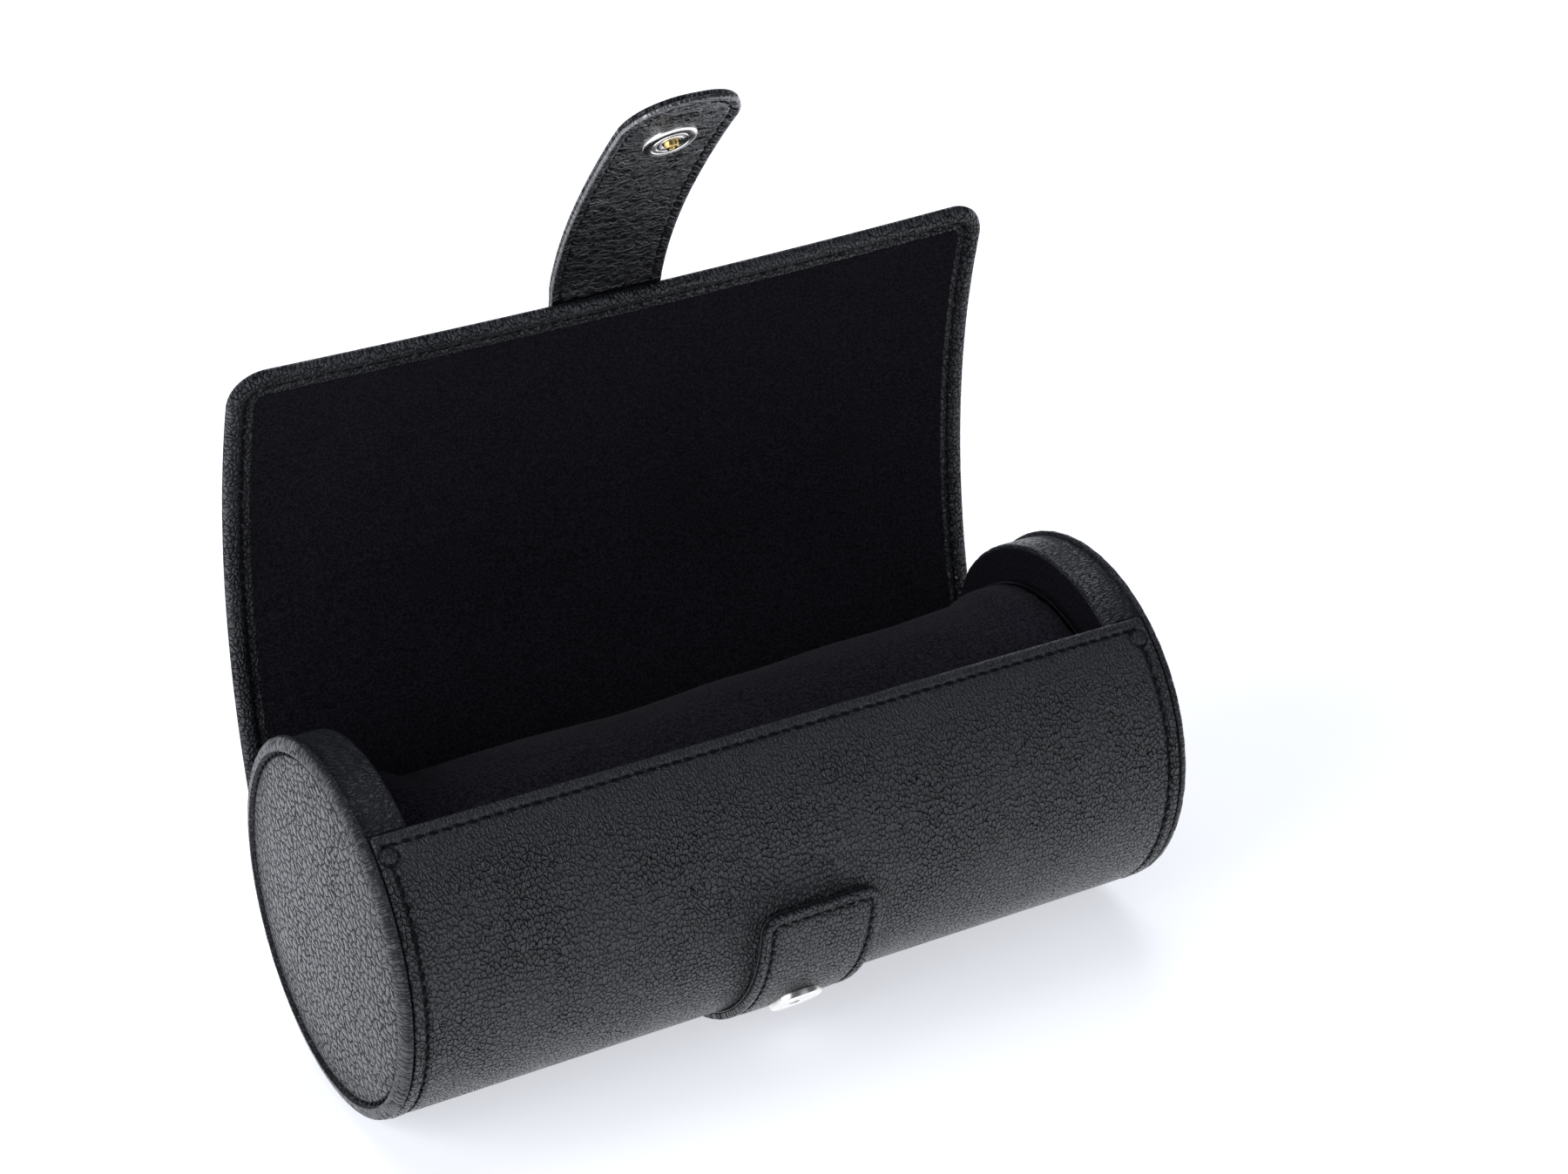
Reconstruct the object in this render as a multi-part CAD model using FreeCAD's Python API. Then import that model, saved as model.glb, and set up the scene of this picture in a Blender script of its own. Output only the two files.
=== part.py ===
"""Cylindrical leather watch roll with an open lid, a closing strap and a cushion.

The roll lies along X on its belt, with its origin on the ground under the middle of the
roll, +Y to the back and +Z up.  Angles in the YZ plane are counted from the top of the
roll: "front" angles turn towards -Y, "back" angles towards +Y.
The lid and the strap are one flexible sheet each.  They are built as short rigid strips
that meet on hinge lines at their inner face, in the shape of the opened roll.
"""
import FreeCAD, Part
import math
import os

V = FreeCAD.Vector

# ------------------------------------------------------------------ body of the roll
case_radius = 48.5            # outside of the body leather and of the end faces
case_length = 218.4           # body leather, end to end
shell_leather_t = 1.1
shell_board_t = 1.2
shell_lining_t = 0.7
front_edge_angle = 34.0       # front angle of the body's free edge
hinge_angle = 105.0           # back angle where the body turns into the lid
turned_hem = 8.0              # leather turned to the inside along free edges

# ------------------------------------------------------------------ end caps
cap_depth = 11.4              # drum of the cap, without the face
cap_rim_leather_t = 0.9
cap_lining_t = 0.5
cap_turn_in = 8.0             # rim leather glued down on the drum's inner face
cap_lining_inset = 1.1        # rim leather showing round the lining of the inner face
face_t = 2.0                  # face panel, at its flat middle
face_leather_t = 0.9
face_board_t = 0.8
face_bead_width = 4.4         # rolled rim round the face, radially
face_bead_rise = 0.35         # how far the rolled rim stands proud of the face
face_bead_round = 0.9         # outer edge of the rolled rim, radially and along the roll
face_groove = 0.5             # stitched groove inside the rim, deep and wide

# ------------------------------------------------------------------ belt and snap
belt_width = 34.0
belt_leather_t = 1.8
belt_backing_t = 0.8
belt_top_angle = 90.0         # front angle of the belt's tab end
belt_corner = 5.0             # clipped corners of the tab end
foot_flat_depth = 1.25        # how far the belt is pressed flat where the roll stands
snap_angle = 135.0            # front angle of the snap on the belt
snap_radius = 7.0
snap_plate_t = 0.5
snap_cover_t = 0.5
snap_height = 2.5             # base plate and cover together
snap_hole_radius = 2.6
snap_seat_depth = 0.7         # how deep the snap is pressed into the belt
snap_stem_radius = 1.6
snap_magnet_gap = 0.2         # round the hole of the magnet, wider than the cover's hole
snap_washer_radius = 4.5
snap_washer_t = 0.4
snap_washer_sink = 0.1        # washer pressed into the backing, off the body leather
tack_radius = 3.0
tack_height = 0.5
tack_stem_radius = 1.2
tack_from_end = 3.0           # middle of a corner tack, from the end of the body leather
tack_below_edge = 6.0         # middle of a corner tack, along the leather from the free edge

# ------------------------------------------------------------------ lid sheet
lid_length = 145.0            # along the sheet, hinge to free edge
lid_side_gap = 0.5            # how much shorter than the body the lid is, at each end
lid_lean = 20.5               # degrees that the lid leans back where it leaves the body
lid_turn = 42.0               # degrees that the lid curls forward up to its free edge
lid_strips = 6
lid_leather_t = 1.0
lid_board_t = 0.8
lid_lining_t = 0.6
lid_corner = 12.0
lid_belt_t = 2.4

# ------------------------------------------------------------------ closing strap
strap_length = 85.0
strap_lean = -22.0            # degrees from the vertical, forward is negative
strap_turn = 38.5
strap_strips = 3
strap_layer_t = 1.2
strap_tip_round = 14.0
stud_from_lid = 66.5          # middle of the stud, along the strap from the lid's edge
stud_radius = 7.0
stud_plate_t = 1.1
stud_seat_depth = 0.25
stud_groove_depth = 0.3
stud_groove_width = 0.5
stud_groove_radius = 4.6      # inner radius of the ring turned into the plate
nub_radius = 2.0
nub_tip_radius = 1.4
nub_height = 1.3
stud_rivet_radius = 1.5
stud_rivet_short = 0.05       # the rivet ends this far inside the inner leather

# ------------------------------------------------------------------ cushion
cushion_end_gap = 1.1         # between the cushion and the lining of a cap
cushion_wall_gap = 0.77       # between the cushion and the lining under it
cushion_sit = (-1.5, -3.2)    # middle of the cushion from the roll's axis, along Y and Z
cushion_waist_depth = 4.4
cushion_waist_x = -35.0
cushion_cover_t = 1.2
cushion_end_t = 1.0
cushion_end_inset = 0.6       # end disc is this much smaller than the cover's end
cushion_edge_round = 4.0
cushion_facets = 30

# ------------------------------------------------------------------ clearances
glue_gap = 0.1                # between the drum of a cap and the lining round it
face_gap = 0.3                # between the body leather's end and the face panel
hinge_gap = 0.7               # between the body and the first strip of the lid
strip_gap = 0.3               # between two strips

# ------------------------------------------------------------------ derived sizes
half_case = case_length / 2
shell_t = shell_leather_t + shell_board_t + shell_lining_t
inner_radius = case_radius - shell_t
board_in = inner_radius + shell_lining_t
board_out = board_in + shell_board_t
drum_radius = inner_radius - glue_gap
belt_t = belt_leather_t + belt_backing_t
belt_radius = case_radius + belt_t
axis_height = belt_radius - foot_flat_depth
axis_point = V(0, 0, axis_height)
face_back = half_case + face_gap
drum_inner = face_back - cap_depth
lid_t = lid_leather_t + lid_board_t + lid_lining_t
lid_width = case_length - 2 * lid_side_gap
strap_t = 2 * strap_layer_t
cushion_length = 2 * (drum_inner - cushion_end_gap)
cushion_end_radius = inner_radius - math.hypot(*cushion_sit) - cushion_wall_gap
cushion_waist_radius = cushion_end_radius - cushion_waist_depth
full_turn = 360.0


# ------------------------------------------------------------------ helpers
def front(angle):
    """Direction angle in the YZ plane, from +Y, of a front angle from the top."""
    return 90.0 + angle


def back(angle):
    """Direction angle in the YZ plane, from +Y, of a back angle from the top."""
    return 90.0 - angle


def polar(centre, radius, angle, x=0.0):
    """Point at a radius and direction angle round a centre in the YZ plane."""
    a = math.radians(angle)
    return V(x, centre.y + radius * math.cos(a), centre.z + radius * math.sin(a))


def ring(centre, r_in, r_out, a0, a1, x0, x1):
    """Part of a tube round an X-directed axis, between two direction angles."""
    mid = (a0 + a1) / 2
    p = [polar(centre, r, a, x0) for r, a in ((r_in, a0), (r_out, a0), (r_out, a1), (r_in, a1))]
    edges = [
        Part.LineSegment(p[0], p[1]),
        Part.Arc(p[1], polar(centre, r_out, mid, x0), p[2]),
        Part.LineSegment(p[2], p[3]),
        Part.Arc(p[3], polar(centre, r_in, mid, x0), p[0]),
    ]
    wire = Part.Wire([e.toShape() for e in edges])
    return Part.Face(wire).extrude(V(x1 - x0, 0, 0))


def turned(edges, origin, axis):
    """Solid of revolution of a closed outline round an axis."""
    wire = Part.Wire([e.toShape() for e in edges])
    return Part.Face(wire).revolve(origin, axis, full_turn)


def polygon(points):
    """Straight edges through the points and back to the first."""
    return [Part.LineSegment(a, b) for a, b in zip(points, points[1:] + points[:1])]


def disc(x0, x1, radius, hole=0.0, centre=axis_point):
    """Disc or washer round an X-directed axis."""
    shape = Part.makeCylinder(radius, x1 - x0, V(x0, centre.y, centre.z), V(1, 0, 0))
    if hole:
        shape = shape.cut(Part.makeCylinder(hole, x1 - x0, V(x0, centre.y, centre.z), V(1, 0, 0)))
    return shape


def mirrored(shape):
    """The same piece at the other end of the roll."""
    return shape.mirror(V(0, 0, 0), V(1, 0, 0))


def rounded_end(half_width, low, high, corner):
    """Outline edges in XY of a strip whose far end, at y = high, has rounded corners."""
    w, c = half_width, corner
    k = c * (1 - math.sqrt(0.5))
    p = [V(-w, low, 0), V(w, low, 0), V(w, high - c, 0), V(w - c, high, 0), V(c - w, high, 0), V(-w, high - c, 0)]
    return [
        Part.LineSegment(p[0], p[1]),
        Part.LineSegment(p[1], p[2]),
        Part.Arc(p[2], V(w - k, high - k, 0), p[3]),
        Part.LineSegment(p[3], p[4]),
        Part.Arc(p[4], V(k - w, high - k, 0), p[5]),
        Part.LineSegment(p[5], p[0]),
    ]


class Sheet:
    """A sheet that leaves a point with a lean and curls forward in one arc.

    The lean is in degrees from the vertical, positive to the back.  `outer` says that
    the start point is on the sheet's back face; otherwise it is on its inner face.
    """

    def __init__(self, start, lean, turn, length, thickness, outer):
        self.start, self.lean, self.turn = start, lean, turn
        self.length, self.thickness = length, thickness
        radius = length / math.radians(turn)
        self.outer_radius = radius if outer else radius + thickness
        self.inner_radius = self.outer_radius - thickness
        forward = self.forward(lean)
        self.centre = start + forward * radius

    @staticmethod
    def along(lean):
        """Direction in which a sheet with this lean runs."""
        a = math.radians(lean)
        return V(0, math.sin(a), math.cos(a))

    @staticmethod
    def forward(lean):
        """Direction from the sheet to its centre of curvature."""
        a = math.radians(lean)
        return V(0, -math.cos(a), math.sin(a))

    def lean_at(self, s):
        """Lean after a run of s along the sheet."""
        return self.lean - self.turn * s / self.length

    def point(self, s, radius):
        """Point of the section after a run of s, at a radius from the centre."""
        return self.centre - self.forward(self.lean_at(s)) * radius

    def layer(self, s0, s1, r_in, r_out, x0, x1):
        """Part of the sheet between two runs, two radii and two X planes."""
        return ring(self.centre, r_in, r_out, -self.lean_at(s0), -self.lean_at(s1), x0, x1)

    def prism(self, edges, s):
        """Outline (X across, Y along the sheet from run s) as a prism through the sheet."""
        lean, reach = self.lean_at(s), 4 * self.thickness
        face = Part.Face(Part.Wire([e.toShape() for e in edges]))
        body = face.extrude(V(0, 0, 2 * reach))
        across, along = V(1, 0, 0), self.along(lean)
        normal = across.cross(along)
        origin = self.point(s, self.outer_radius) - normal * reach
        body.Placement = FreeCAD.Placement(FreeCAD.Matrix(
            across.x, along.x, normal.x, origin.x,
            across.y, along.y, normal.y, origin.y,
            across.z, along.z, normal.z, origin.z,
            0, 0, 0, 1))
        return body


def radial(shape, centre, angle):
    """Move a shape built along +Z from the origin so that +Z points out at an angle."""
    out = polar(V(0, 0, 0), 1.0, angle)
    rotation = FreeCAD.Rotation(V(0, 0, 1), out)
    moved = shape.copy()
    moved.Placement = FreeCAD.Placement(centre, rotation)
    return moved


# ------------------------------------------------------------------ body of the roll
def body_shell():
    """Body leather with its turned front hem, the board inside it and the lining."""
    edge, end = front(front_edge_angle), full_turn + back(hinge_angle)
    fold = edge + math.degrees(shell_leather_t / case_radius)
    hem = edge + math.degrees(turned_hem / inner_radius)
    span = (-half_case, half_case)
    leather = ring(axis_point, board_out, case_radius, edge, end, *span)
    leather = leather.fuse(ring(axis_point, inner_radius, board_out, edge, fold, *span))
    leather = leather.fuse(ring(axis_point, inner_radius, board_in, edge, hem, *span)).removeSplitter()
    board = ring(axis_point, board_in, board_out, fold, end, *span)
    lining = ring(axis_point, inner_radius, board_in, hem, end, *span)
    return {"body_leather": leather, "body_board": board, "body_lining": lining}


def corner_tacks(layers):
    """Covered tacks at the front corners, through the leather and board, and their holes."""
    angle = front(front_edge_angle + math.degrees(tack_below_edge / case_radius))
    depth = shell_leather_t + shell_board_t
    tacks = []
    for side in (-1, 1):
        centre = V(side * (half_case - tack_from_end), 0, axis_height)
        head = Part.makeCylinder(tack_radius, tack_height, V(0, 0, case_radius))
        stem = Part.makeCylinder(tack_stem_radius, depth, V(0, 0, case_radius - depth))
        hole = radial(stem, centre, angle)
        for name in ("body_leather", "body_board"):
            layers[name] = layers[name].cut(hole)
        tacks.append(radial(head.fuse(stem).removeSplitter(), centre, angle))
    return Part.makeCompound(tacks)


# ------------------------------------------------------------------ end caps
def right_cap():
    """Pieces of the cap at +X: face with its rolled rim, board, drum, rim leather, lining."""
    def at(x, r):
        return V(x, 0, axis_height + r)

    face_x = face_back + face_t
    groove_r = case_radius - face_bead_width
    bead_x = face_x + face_bead_rise
    face = turned(polygon([
        at(face_back, 0),
        at(face_x, 0),
        at(face_x, groove_r - face_groove),
        at(face_x - face_groove, groove_r - face_groove),
        at(face_x - face_groove, groove_r),
        at(bead_x, groove_r),
        at(bead_x, case_radius - face_bead_round),
        at(bead_x - face_bead_round, case_radius),
        at(face_back, case_radius),
    ]), axis_point, V(1, 0, 0))
    board = disc(face_back, face_back + face_board_t, groove_r - face_leather_t)
    face = face.cut(board)

    core_x = drum_inner + cap_lining_t + cap_rim_leather_t
    core = disc(core_x, face_back, drum_radius - cap_rim_leather_t)
    rim_x = drum_inner + cap_lining_t
    rim = disc(rim_x, face_back, drum_radius)
    turn_in = drum_radius - cap_rim_leather_t - cap_turn_in
    rim = rim.cut(core).cut(disc(rim_x, core_x, turn_in))
    core = core.fuse(disc(rim_x, core_x, turn_in)).removeSplitter()
    lining = disc(drum_inner, rim_x, drum_radius - cap_lining_inset)
    return {
        "face_leather": face,
        "face_board": board,
        "drum_core": core,
        "drum_rim_leather": rim,
        "drum_lining": lining,
    }


# ------------------------------------------------------------------ belt and snap
def belt():
    """Belt sewn round the body from the front tab under the roll to the hinge."""
    start, end = front(belt_top_angle), full_turn + back(hinge_angle)
    half = belt_width / 2
    seam = case_radius + belt_backing_t
    backing = ring(axis_point, case_radius, seam, start, end, -half, half)
    leather = ring(axis_point, seam, belt_radius, start, end, -half, half)
    ground = Part.makeBox(belt_width, 2 * belt_radius, belt_radius, V(-half, -belt_radius, -belt_radius))
    leather = leather.cut(ground)
    top = axis_height - belt_radius * math.sin(math.radians(belt_top_angle - 90.0))
    for side in (-1, 1):
        corner = [V(side * half, 0, top), V(side * (half - belt_corner), 0, top), V(side * half, 0, top - belt_corner)]
        wedge = Part.Face(Part.Wire([e.toShape() for e in polygon(corner)])).extrude(V(0, -2 * belt_radius, 0))
        leather, backing = leather.cut(wedge), backing.cut(wedge)
    return {"belt_leather": leather, "belt_backing": backing}


def belt_snap(layers):
    """Magnetic snap on the belt: base plate with its stem, ring magnet, cover, washer."""
    seat = belt_radius - snap_seat_depth
    top = seat + snap_height
    angle = front(snap_angle)

    def placed(shape):
        return radial(shape, axis_point, angle)

    def cylinder(radius, low, high):
        return Part.makeCylinder(radius, high - low, V(0, 0, low))

    washer_top = case_radius + snap_washer_t
    base = cylinder(snap_radius, seat, seat + snap_plate_t).fuse(cylinder(snap_stem_radius, washer_top, seat))
    washer = cylinder(snap_washer_radius, case_radius + snap_washer_sink, washer_top)
    bottom = seat + snap_plate_t
    cover = cylinder(snap_radius, bottom, top)
    rim = [e for e in cover.Edges if abs(e.BoundBox.ZMin - top) < 1e-6 and e.BoundBox.ZLength < 1e-6]
    cover = cover.makeChamfer(snap_cover_t / 2, rim)
    magnet = cylinder(snap_radius - snap_cover_t, bottom, top - snap_cover_t)
    cover = cover.cut(magnet).cut(cylinder(snap_hole_radius, bottom, top))
    magnet = magnet.cut(cylinder(snap_hole_radius + snap_magnet_gap, bottom, top))
    pocket = placed(cylinder(snap_radius, seat, top))
    hole = placed(cylinder(snap_stem_radius, washer_top, top))
    layers["belt_leather"] = layers["belt_leather"].cut(pocket).cut(hole)
    layers["belt_backing"] = layers["belt_backing"].cut(hole).cut(placed(washer))
    return {
        "snap_base": placed(base.removeSplitter()),
        "snap_magnet": placed(magnet),
        "snap_cover": placed(cover),
        "snap_washer": placed(washer),
    }


# ------------------------------------------------------------------ lid
def lid_sheet():
    """The lid's section, leaving the outside of the body at the hinge."""
    start = polar(axis_point, case_radius, back(hinge_angle)) + Sheet.along(lid_lean) * hinge_gap
    return Sheet(start, lid_lean, lid_turn, lid_length, lid_t, outer=True)


def lid_strip(sheet, number):
    """One strip of the lid: leather with turned hems, board, lining and belt."""
    step = sheet.length / lid_strips
    first, last = number == 1, number == lid_strips
    s0 = (number - 1) * step + (0 if first else strip_gap / 2)
    s1 = number * step - (0 if last else strip_gap / 2)
    middle = (number - 0.5) * step
    half = lid_width / 2
    r_in, r_out = sheet.inner_radius, sheet.outer_radius
    lining_out, board_out_r = r_in + lid_lining_t, r_out - lid_leather_t

    def plan(inset):
        """Prism of the lid's outline, moved in by an inset from its free edges."""
        corner = max(lid_corner - inset, 1.0)
        if not last:
            reach = step
            edges = polygon([V(inset - half, -reach, 0), V(half - inset, -reach, 0),
                             V(half - inset, reach, 0), V(inset - half, reach, 0)])
        else:
            edges = rounded_end(half - inset, -step, s1 - middle - inset, corner)
        return sheet.prism(edges, middle)

    def layer(low, high):
        return sheet.layer(s0, s1, low, high, -half, half)

    whole, fold, hem = plan(0.0), plan(lid_leather_t), plan(turned_hem)
    board = layer(lining_out, board_out_r).common(fold)
    lining = layer(r_in, lining_out).common(hem)
    leather = layer(r_in, r_out).common(whole).cut(board).cut(lining)
    belt_half = belt_width / 2
    strip = sheet.layer(s0, s1, r_out, r_out + lid_belt_t, -belt_half, belt_half)
    return {
        f"lid_leather_{number}": leather,
        f"lid_board_{number}": board,
        f"lid_lining_{number}": lining,
        f"lid_belt_{number}": strip,
    }


# ------------------------------------------------------------------ closing strap
def strap_sheet(lid):
    """The strap's section, leaving the lid's outer face at its free edge."""
    start = lid.point(lid.length, lid.outer_radius)
    return Sheet(start, strap_lean, strap_turn, strap_length, strap_t, outer=False)


def strap_strip(sheet, number):
    """One strip of the strap: inner and outer leather."""
    step = sheet.length / strap_strips
    last = number == strap_strips
    s0 = (number - 1) * step + strip_gap / 2
    s1 = number * step - (0 if last else strip_gap / 2)
    half = belt_width / 2
    seam = sheet.inner_radius + strap_layer_t
    inner = sheet.layer(s0, s1, sheet.inner_radius, seam, -half, half)
    outer = sheet.layer(s0, s1, seam, sheet.outer_radius, -half, half)
    if last:
        middle = (number - 0.5) * step
        tip = sheet.prism(rounded_end(half, -step, s1 - middle, strap_tip_round), middle)
        inner, outer = inner.common(tip), outer.common(tip)
    return {f"strap_inner_{number}": inner, f"strap_outer_{number}": outer}


def stud(sheet, layers):
    """Stud of the snap on the strap's inner face: ringed plate and riveted nub."""
    origin = sheet.point(stud_from_lid, sheet.inner_radius)
    normal = Sheet.forward(sheet.lean_at(stud_from_lid))
    rotation = FreeCAD.Rotation(V(0, 0, 1), normal)

    def placed(shape):
        moved = shape.copy()
        moved.Placement = FreeCAD.Placement(origin, rotation)
        return moved

    top = stud_plate_t - stud_seat_depth
    plate = Part.makeCylinder(stud_radius, stud_plate_t, V(0, 0, -stud_seat_depth))
    groove = Part.makeCylinder(stud_groove_radius + stud_groove_width, stud_groove_depth,
                               V(0, 0, top - stud_groove_depth))
    plate = plate.cut(groove.cut(Part.makeCylinder(stud_groove_radius, stud_plate_t, V(0, 0, 0))))
    rivet_depth = strap_layer_t - stud_rivet_short
    rivet = Part.makeCylinder(stud_rivet_radius, rivet_depth + top, V(0, 0, -rivet_depth))
    nub = Part.makeCone(nub_radius, nub_tip_radius, nub_height, V(0, 0, top)).fuse(rivet).removeSplitter()
    plate = plate.cut(rivet)
    seat = placed(Part.makeCylinder(stud_radius, stud_plate_t, V(0, 0, -stud_seat_depth)))
    name = f"strap_inner_{strap_strips}"
    layers[name] = layers[name].cut(seat).cut(placed(rivet))
    return {"stud_plate": placed(plate), "stud_nub": placed(nub)}


# ------------------------------------------------------------------ cushion
def cushion():
    """Cushion with a soft waist: cover, core and two end discs."""
    middle = axis_point + V(0, *cushion_sit)
    half = cushion_length / 2
    cover_end = half - cushion_end_t
    r, waist = cushion_end_radius, cushion_waist_radius
    depth = r - waist
    left, right = cushion_waist_x + cover_end, cover_end - cushion_waist_x
    corner = cushion_edge_round

    def section(x, radius):
        """Section of the cushion across X."""
        turns = [2 * math.pi * k / cushion_facets for k in range(cushion_facets)]
        points = [middle + V(x, radius * math.cos(a), radius * math.sin(a)) for a in turns]
        return Part.Wire([e.toShape() for e in polygon(points)])

    stations = [
        (-cover_end, r - corner), (corner - cover_end, r - 0.2 * depth),
        (cushion_waist_x - 0.45 * left, r - 0.5 * depth), (cushion_waist_x - 0.15 * left, waist),
        (cushion_waist_x + 0.15 * right, waist), (cushion_waist_x + 0.45 * right, r - 0.4 * depth),
        (cushion_waist_x + 0.75 * right, r), (cover_end - corner, r), (cover_end, r - corner),
    ]
    outer = Part.makeLoft([section(x, radius) for x, radius in stations], True, True)
    core = disc(-cover_end, cover_end, waist - cushion_cover_t, centre=middle)
    cover = outer.cut(core)
    end_disc = disc(cover_end, half, r - corner - cushion_end_inset, centre=middle)
    ends = Part.makeCompound([mirrored(end_disc), end_disc])
    return {"cushion_cover": cover, "cushion_core": core, "cushion_ends": ends}


# ------------------------------------------------------------------ the whole roll
def build():
    """Every node of the roll, by name."""
    parts = body_shell()
    parts["corner_tacks"] = corner_tacks(parts)
    for name, shape in right_cap().items():
        parts[f"left_{name}"] = mirrored(shape)
        parts[f"right_{name}"] = shape

    belt_parts = belt()
    parts.update(belt_snap(belt_parts))
    parts.update(belt_parts)

    lid = lid_sheet()
    for number in range(1, lid_strips + 1):
        parts.update(lid_strip(lid, number))
    strap = strap_sheet(lid)
    strap_parts = {}
    for number in range(1, strap_strips + 1):
        strap_parts.update(strap_strip(strap, number))
    parts.update(stud(strap, strap_parts))
    parts.update(strap_parts)
    parts.update(cushion())
    return parts


def main():
    """Write one STEP file for each node."""
    os.makedirs("parts", exist_ok=True)
    for name, shape in build().items():
        shape.exportStep(f"parts/{name}.step")


main()
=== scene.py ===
"""Looks of a cylindrical leather watch roll with its lid, strap and cushion.

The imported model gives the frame, and the sizes that a piece shares with it are read from
the boxes of its nodes.  Lengths in the classes are in millimetres and meshes in metres.
Leather is cut flat (x across the roll, s along the leather, h out of it) and then laid
round the body, up the lid and along the strap.
"""
from __future__ import annotations

import logging
import math
from dataclasses import dataclass, field
from enum import Enum
from typing import Callable, Iterator

import bmesh
import bpy
from mathutils import Matrix, Vector, noise


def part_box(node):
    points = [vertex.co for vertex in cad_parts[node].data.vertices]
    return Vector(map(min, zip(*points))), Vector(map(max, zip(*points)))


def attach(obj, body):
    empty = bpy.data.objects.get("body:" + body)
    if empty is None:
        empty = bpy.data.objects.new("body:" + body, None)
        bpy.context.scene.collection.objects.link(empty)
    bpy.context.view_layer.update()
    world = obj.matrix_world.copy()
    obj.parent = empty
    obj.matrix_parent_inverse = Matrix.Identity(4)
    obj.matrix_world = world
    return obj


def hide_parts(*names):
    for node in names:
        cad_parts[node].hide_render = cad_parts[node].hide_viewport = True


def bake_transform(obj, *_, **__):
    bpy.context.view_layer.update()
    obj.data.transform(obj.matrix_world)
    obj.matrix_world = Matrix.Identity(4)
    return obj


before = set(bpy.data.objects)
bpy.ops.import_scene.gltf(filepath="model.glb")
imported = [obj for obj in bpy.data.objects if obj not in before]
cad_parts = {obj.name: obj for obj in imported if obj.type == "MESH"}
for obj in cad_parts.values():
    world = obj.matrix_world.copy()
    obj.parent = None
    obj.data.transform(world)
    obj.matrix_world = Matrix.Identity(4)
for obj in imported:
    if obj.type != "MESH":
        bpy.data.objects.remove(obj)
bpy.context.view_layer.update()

MM = 0.001
FULL_TURN = 2 * math.pi
QUARTER = math.pi / 2
SHARP = math.radians(50)
UV_NAME = "hide_mm"
ROUND_PATTERN = 46.0  # mm of pattern that a turned strip has for a radian
FRONT_ANGLE = 34.0  # degrees from the top forward to the body's front edge
HINGE_ANGLE = 105.0  # degrees from the top back to the lid's hinge
HINGE_CUT = -8.0  # mm before the lid, where the body's piece of a run ends
HINGE_BLEND = 7.0  # mm on each side of the hinge, where the body's section becomes the lid's
EDGE_ROWS = (0.0, 0.08, 0.22, 0.42, 0.7, 1.05, 1.5)  # mm from a free edge, a panel's first rows
LOG = logging.getLogger("watch_roll")

Spot = tuple[float, float]
Stitch = tuple[float, float, float]


# ------------------------------------------------------------------ small helpers
def smooth(value: float, low: float, high: float) -> float:
    """Smooth step from 0 at low to 1 at high."""
    t = min(1.0, max(0.0, (value - low) / (high - low)))
    return t * t * (3 - 2 * t)


def mix(a: float, b: float, share: float) -> float:
    """Value between a and b."""
    return a + (b - a) * share


def rounded_off(distance: float, radius: float) -> float:
    """How far a face drops at a distance from its edge when the edge is rounded.

    Args:
        distance: from the edge, in mm.
        radius: of the rounding, in mm.

    Returns:
        The drop in mm, radius at the edge itself and 0 past the rounding.
    """
    if distance >= radius:
        return 0.0
    inside = radius - max(distance, 0.0)
    return radius - math.sqrt(max(radius * radius - inside * inside, 0.0))


def groove(distance: float, width: float) -> float:
    """Depth share of a pressed line at a distance from its middle."""
    return math.exp(-((distance / width) ** 2))


def swell(share: float) -> float:
    """Round swelling over a share from 0 to 1, and 0 outside.

    Args:
        share: place in the swelling, 0 at its start and 1 at its end.

    Returns:
        The height share, 1 in the middle.
    """
    if not 0.0 < share < 1.0:
        return 0.0
    return math.sin(math.pi * share) ** 0.7


def fold_line(along: float, across: float, seed: float, sharp: float = 0.16) -> float:
    """Skin fold, 1 in its bottom and 0 beside it.

    Args:
        along: place in the direction that crosses the folds, in fold spacings.
        across: place in the direction that the folds run, in fold lengths.
        seed: which pattern.
        sharp: width share of a fold.

    Returns:
        Depth share from 0 to 1.
    """
    value = noise.noise(Vector((along, across, seed)))
    return max(0.0, 1.0 - abs(value) / sharp)


# ------------------------------------------------------------------ sizes of the roll
@dataclass(frozen=True)
class Roll:
    """Sizes of the roll's body, in mm, as packed."""

    axis: float
    radius: float
    half: float
    drum: float
    drum_inner: float
    face_back: float
    belt: float

    @classmethod
    def measured(cls) -> Roll:
        """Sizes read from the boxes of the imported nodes.

        Returns:
            The roll.
        """
        low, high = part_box("body_leather")
        radius = -low.y / MM
        axis = low.z / MM + radius
        drum_low, drum_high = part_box("right_drum_rim_leather")
        return cls(
            axis=axis,
            radius=radius,
            half=high.x / MM,
            drum=drum_high.z / MM - axis,
            drum_inner=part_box("right_drum_lining")[0].x / MM,
            face_back=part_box("right_face_leather")[0].x / MM,
            belt=-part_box("belt_leather")[0].y / MM,
        )


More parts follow.
